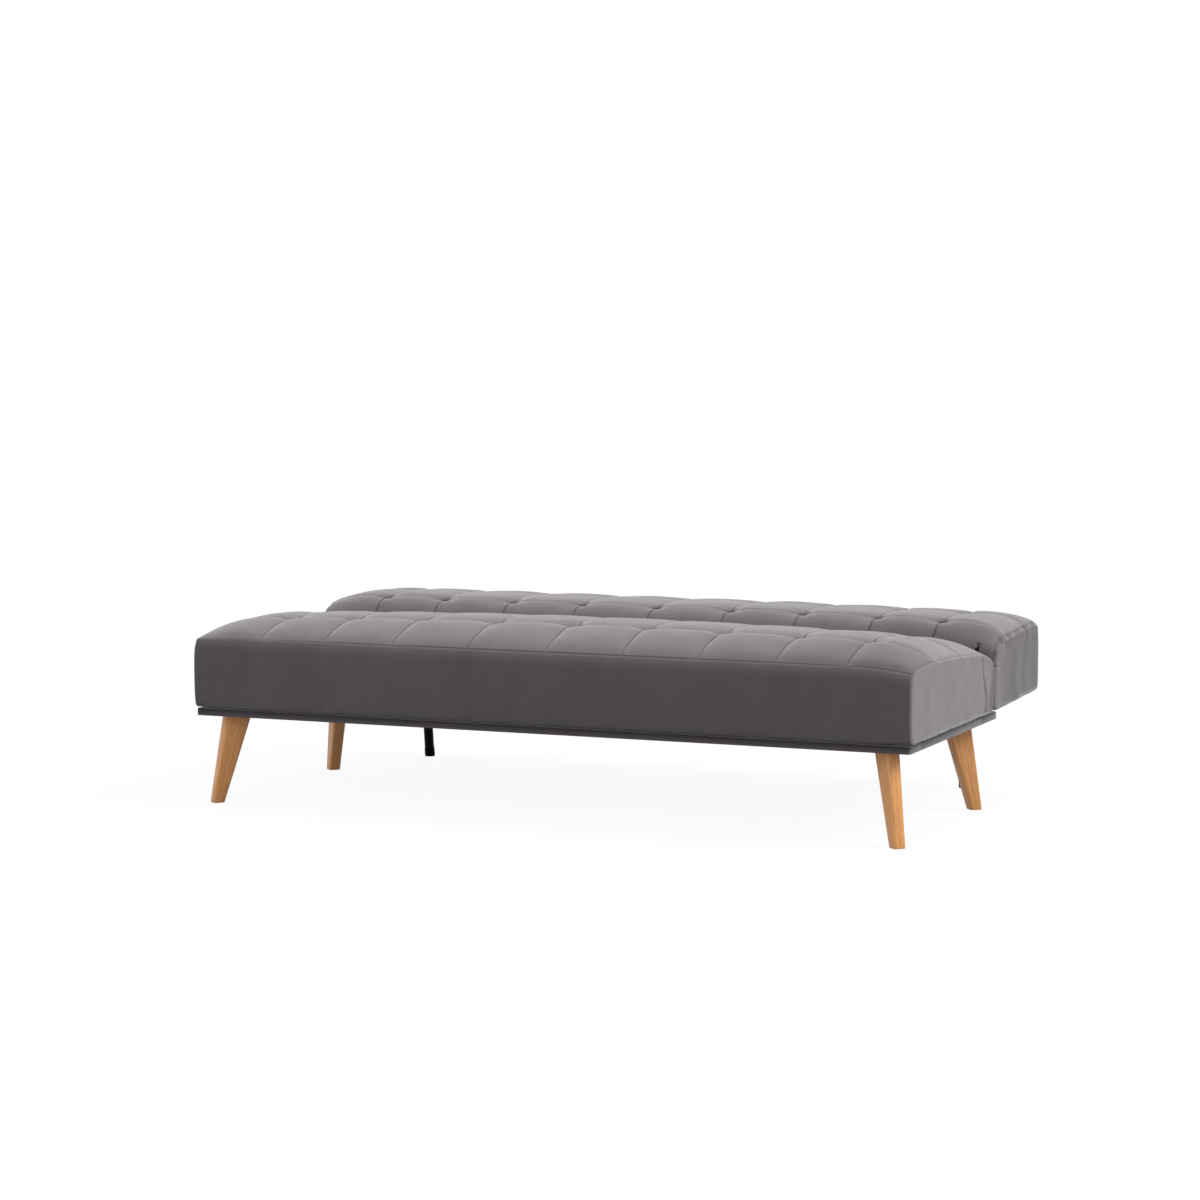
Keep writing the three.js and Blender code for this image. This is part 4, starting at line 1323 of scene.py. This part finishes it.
class SOFABED_OT_linings(Maker, bpy.types.Operator):
    """Stretch the thin black linings under seat and backrest"""

    bl_idname = "sofabed.linings"
    bl_label = "Linings"

    def make(self):
        nx, ny = LINING_GRID
        for body in ("seat", "back"):
            low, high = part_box(f"{body}_dust_cover")
            size = high - low
            vertices = []
            for u, v in ((i / nx, j / ny) for j in range(ny + 1) for i in range(nx + 1)):
                wave = LINING_WAVE * math.sin(u * 40) * math.sin(v * 17)
                sag = LINING_SAG * math.sin(math.pi * u) * math.sin(math.pi * v)
                rise = LINING_LOW + (size.z - LINING_MARGIN) * v
                vertices.append((low.x + size.x * u, low.y + size.y * v, low.z + rise + wave - sag))
            starts = [j * (nx + 1) + i for j in range(ny) for i in range(nx)]
            faces = [(k, k + nx + 1, k + nx + 2, k + 1) for k in starts]
            piece = new_piece(f"{body}_lining", vertices, faces, MATERIALS["lining"])
            wall = piece.modifiers.new("thickness", "SOLIDIFY")
            wall.thickness = LINING_THICKNESS
            wall.offset = 0
            flatten(piece)
            dress(piece, body, "liner", f"{body}_dust_cover")


# Finish of the CAD's own pieces by their slot
SLOT_FINISHES = {
    "frame_wood": "sawn_across", "black_steel": "black_steel", "zinc_steel": "zinc", "rubber": "rubber",
    "foam": "foam", "webbing": "webbing", "velvet": "velvet", "leg_wood": "sawn_across", "liner": "lining",
}


class SOFABED_OT_cad_finishes(Maker, bpy.types.Operator):
    """Give the frames, foam, straps and ironwork their finishes"""

    bl_idname = "sofabed.cad_finishes"
    bl_label = "Inner pieces and ironwork"

    def make(self):
        for entry in RECORD["subparts"]:
            finish_name = SLOT_FINISHES[entry["material_slot"]]
            low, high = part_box(entry["node"])
            if finish_name == "sawn_across" and high.y - low.y > high.x - low.x:
                finish_name = "sawn_deep"
            mesh = frame["nodes"][entry["node"]].data
            mesh.materials.clear()
            mesh.materials.append(MATERIALS[finish_name])


# Stage

CAMERA_LENS = 97.17
CAMERA_SENSOR = 36
CAMERA_PLACE = (3.036, -6.820, 1.208)  # from the front of the base
CAMERA_DOWN = 5.2  # degrees below level
CAMERA_TURN = 22.87
FLOOR_SIZE = 60.0
FLOOR_GLOW = 0.94  # of the floor as the eye sees it
FLOOR_SHADED = 0.05
FLOOR_LIGHTING = 0.42  # of the floor as it lights the object
AMBIENT = 0.39
LAMPS = {
    "key from the right": {"from": (1.15, 0.30, 1.15), "strength": 3.2, "angle": 34},
    "fill from above": {"from": (-0.35, 0.25, 1.2), "strength": 0.9, "angle": 60},
    "fill from the front": {"from": (-0.2, -1.0, 0.5), "strength": 1.2, "angle": 60},
}


class SOFABED_OT_stage(Maker, bpy.types.Operator):
    """Set up the pale floor, the lamps and the camera"""

    bl_idname = "sofabed.stage"
    bl_label = "Stage"

    def make(self):
        bpy.context.scene.view_settings.view_transform = "Standard"
        make_camera()
        make_floor()
        make_world()
        make_lamps()


def make_camera():
    camera = bpy.data.cameras.new("camera")
    camera.lens = CAMERA_LENS
    camera.sensor_width = CAMERA_SENSOR
    camera.clip_end = 100
    placed = place("camera", camera)
    x, y, z = CAMERA_PLACE
    placed.location = (x, BASE_FRONT + y, z)
    placed.rotation_euler = (math.radians(90 - CAMERA_DOWN), 0, math.radians(CAMERA_TURN))
    bpy.context.scene.camera = placed


def mix_by_eye(tree, lighting, seen, output):
    """Gives one shader to the rays that light the object, and the other to what the eye sees."""
    rays = node(tree, "ShaderNodeLightPath").outputs
    mirrored = arithmetic(tree, "MAXIMUM", rays["Is Glossy Ray"], rays["Is Transmission Ray"])
    by_eye = arithmetic(tree, "MAXIMUM", rays["Is Camera Ray"], mirrored)
    mix = node(tree, "ShaderNodeMixShader", {0: by_eye, 1: lighting, 2: seen})
    node(tree, output, {"Surface": mix})


def make_floor():
    """A pale floor that the eye sees as white, with the shadow left in it."""
    s = FLOOR_SIZE
    material, tree = new_material("pale floor")
    tree.nodes.clear()
    plain, shaded = (node(tree, "ShaderNodeBsdfDiffuse", {"Color": (grey, grey, grey, 1)})
                     for grey in (FLOOR_LIGHTING, FLOOR_SHADED))
    glow = node(tree, "ShaderNodeEmission", {"Strength": FLOOR_GLOW})
    pale = node(tree, "ShaderNodeAddShader", {0: shaded, 1: glow})
    mix_by_eye(tree, plain, pale, "ShaderNodeOutputMaterial")
    corners = [(-s, -s, 0), (s, -s, 0), (s, s, 0), (-s, s, 0)]
    new_piece("floor", corners, [(0, 1, 2, 3)], material, smooth=False)


def make_world():
    world = bpy.data.worlds.new("studio")
    world.use_nodes = True
    tree = world.node_tree
    tree.nodes.clear()
    ambient, seen = (node(tree, "ShaderNodeBackground", {"Color": (1, 1, 1, 1), "Strength": strength})
                     for strength in (AMBIENT, 1.0))
    mix_by_eye(tree, ambient, seen, "ShaderNodeOutputWorld")
    bpy.context.scene.world = world


def make_lamps():
    for name, lamp in LAMPS.items():
        light = bpy.data.lights.new(name, "SUN")
        light.energy = lamp["strength"]
        light.angle = math.radians(lamp["angle"])
        placed = place(name, light)
        placed.rotation_euler = (-Vector(lamp["from"])).to_track_quat("-Z", "Y").to_euler()


MAKERS = (
    SOFABED_OT_stage, SOFABED_OT_cad_finishes, SOFABED_OT_seat_cover, SOFABED_OT_back_cover,
    SOFABED_OT_stitches, SOFABED_OT_base_boards, SOFABED_OT_wooden_legs, SOFABED_OT_steel_props,
    SOFABED_OT_linings,
)


class SOFABED_PT_panel(bpy.types.Panel):
    """Lists the sofa bed's makers"""

    bl_idname = "SOFABED_PT_panel"
    bl_label = "Sofa Bed"
    bl_space_type = "VIEW_3D"
    bl_region_type = "UI"
    bl_category = "Sofa Bed"

    def draw(self, context):
        for maker in MAKERS:
            self.layout.operator(maker.bl_idname, text=maker.bl_label)
        for name in SofaBedSettings.__annotations__:
            self.layout.prop(context.scene.sofa_bed, name)


def register():
    for item in (SofaBedSettings, *MAKERS, SOFABED_PT_panel):
        bpy.utils.register_class(item)
    bpy.types.Scene.sofa_bed = PointerProperty(type=SofaBedSettings)


def unregister():
    del bpy.types.Scene.sofa_bed
    for item in reversed((SofaBedSettings, *MAKERS, SOFABED_PT_panel)):
        bpy.utils.unregister_class(item)


def main():
    register()
    make_materials()
    for maker in MAKERS:
        family, name = maker.bl_idname.split(".")
        getattr(getattr(bpy.ops, family), name)()


if __name__ == "__main__":
    main()
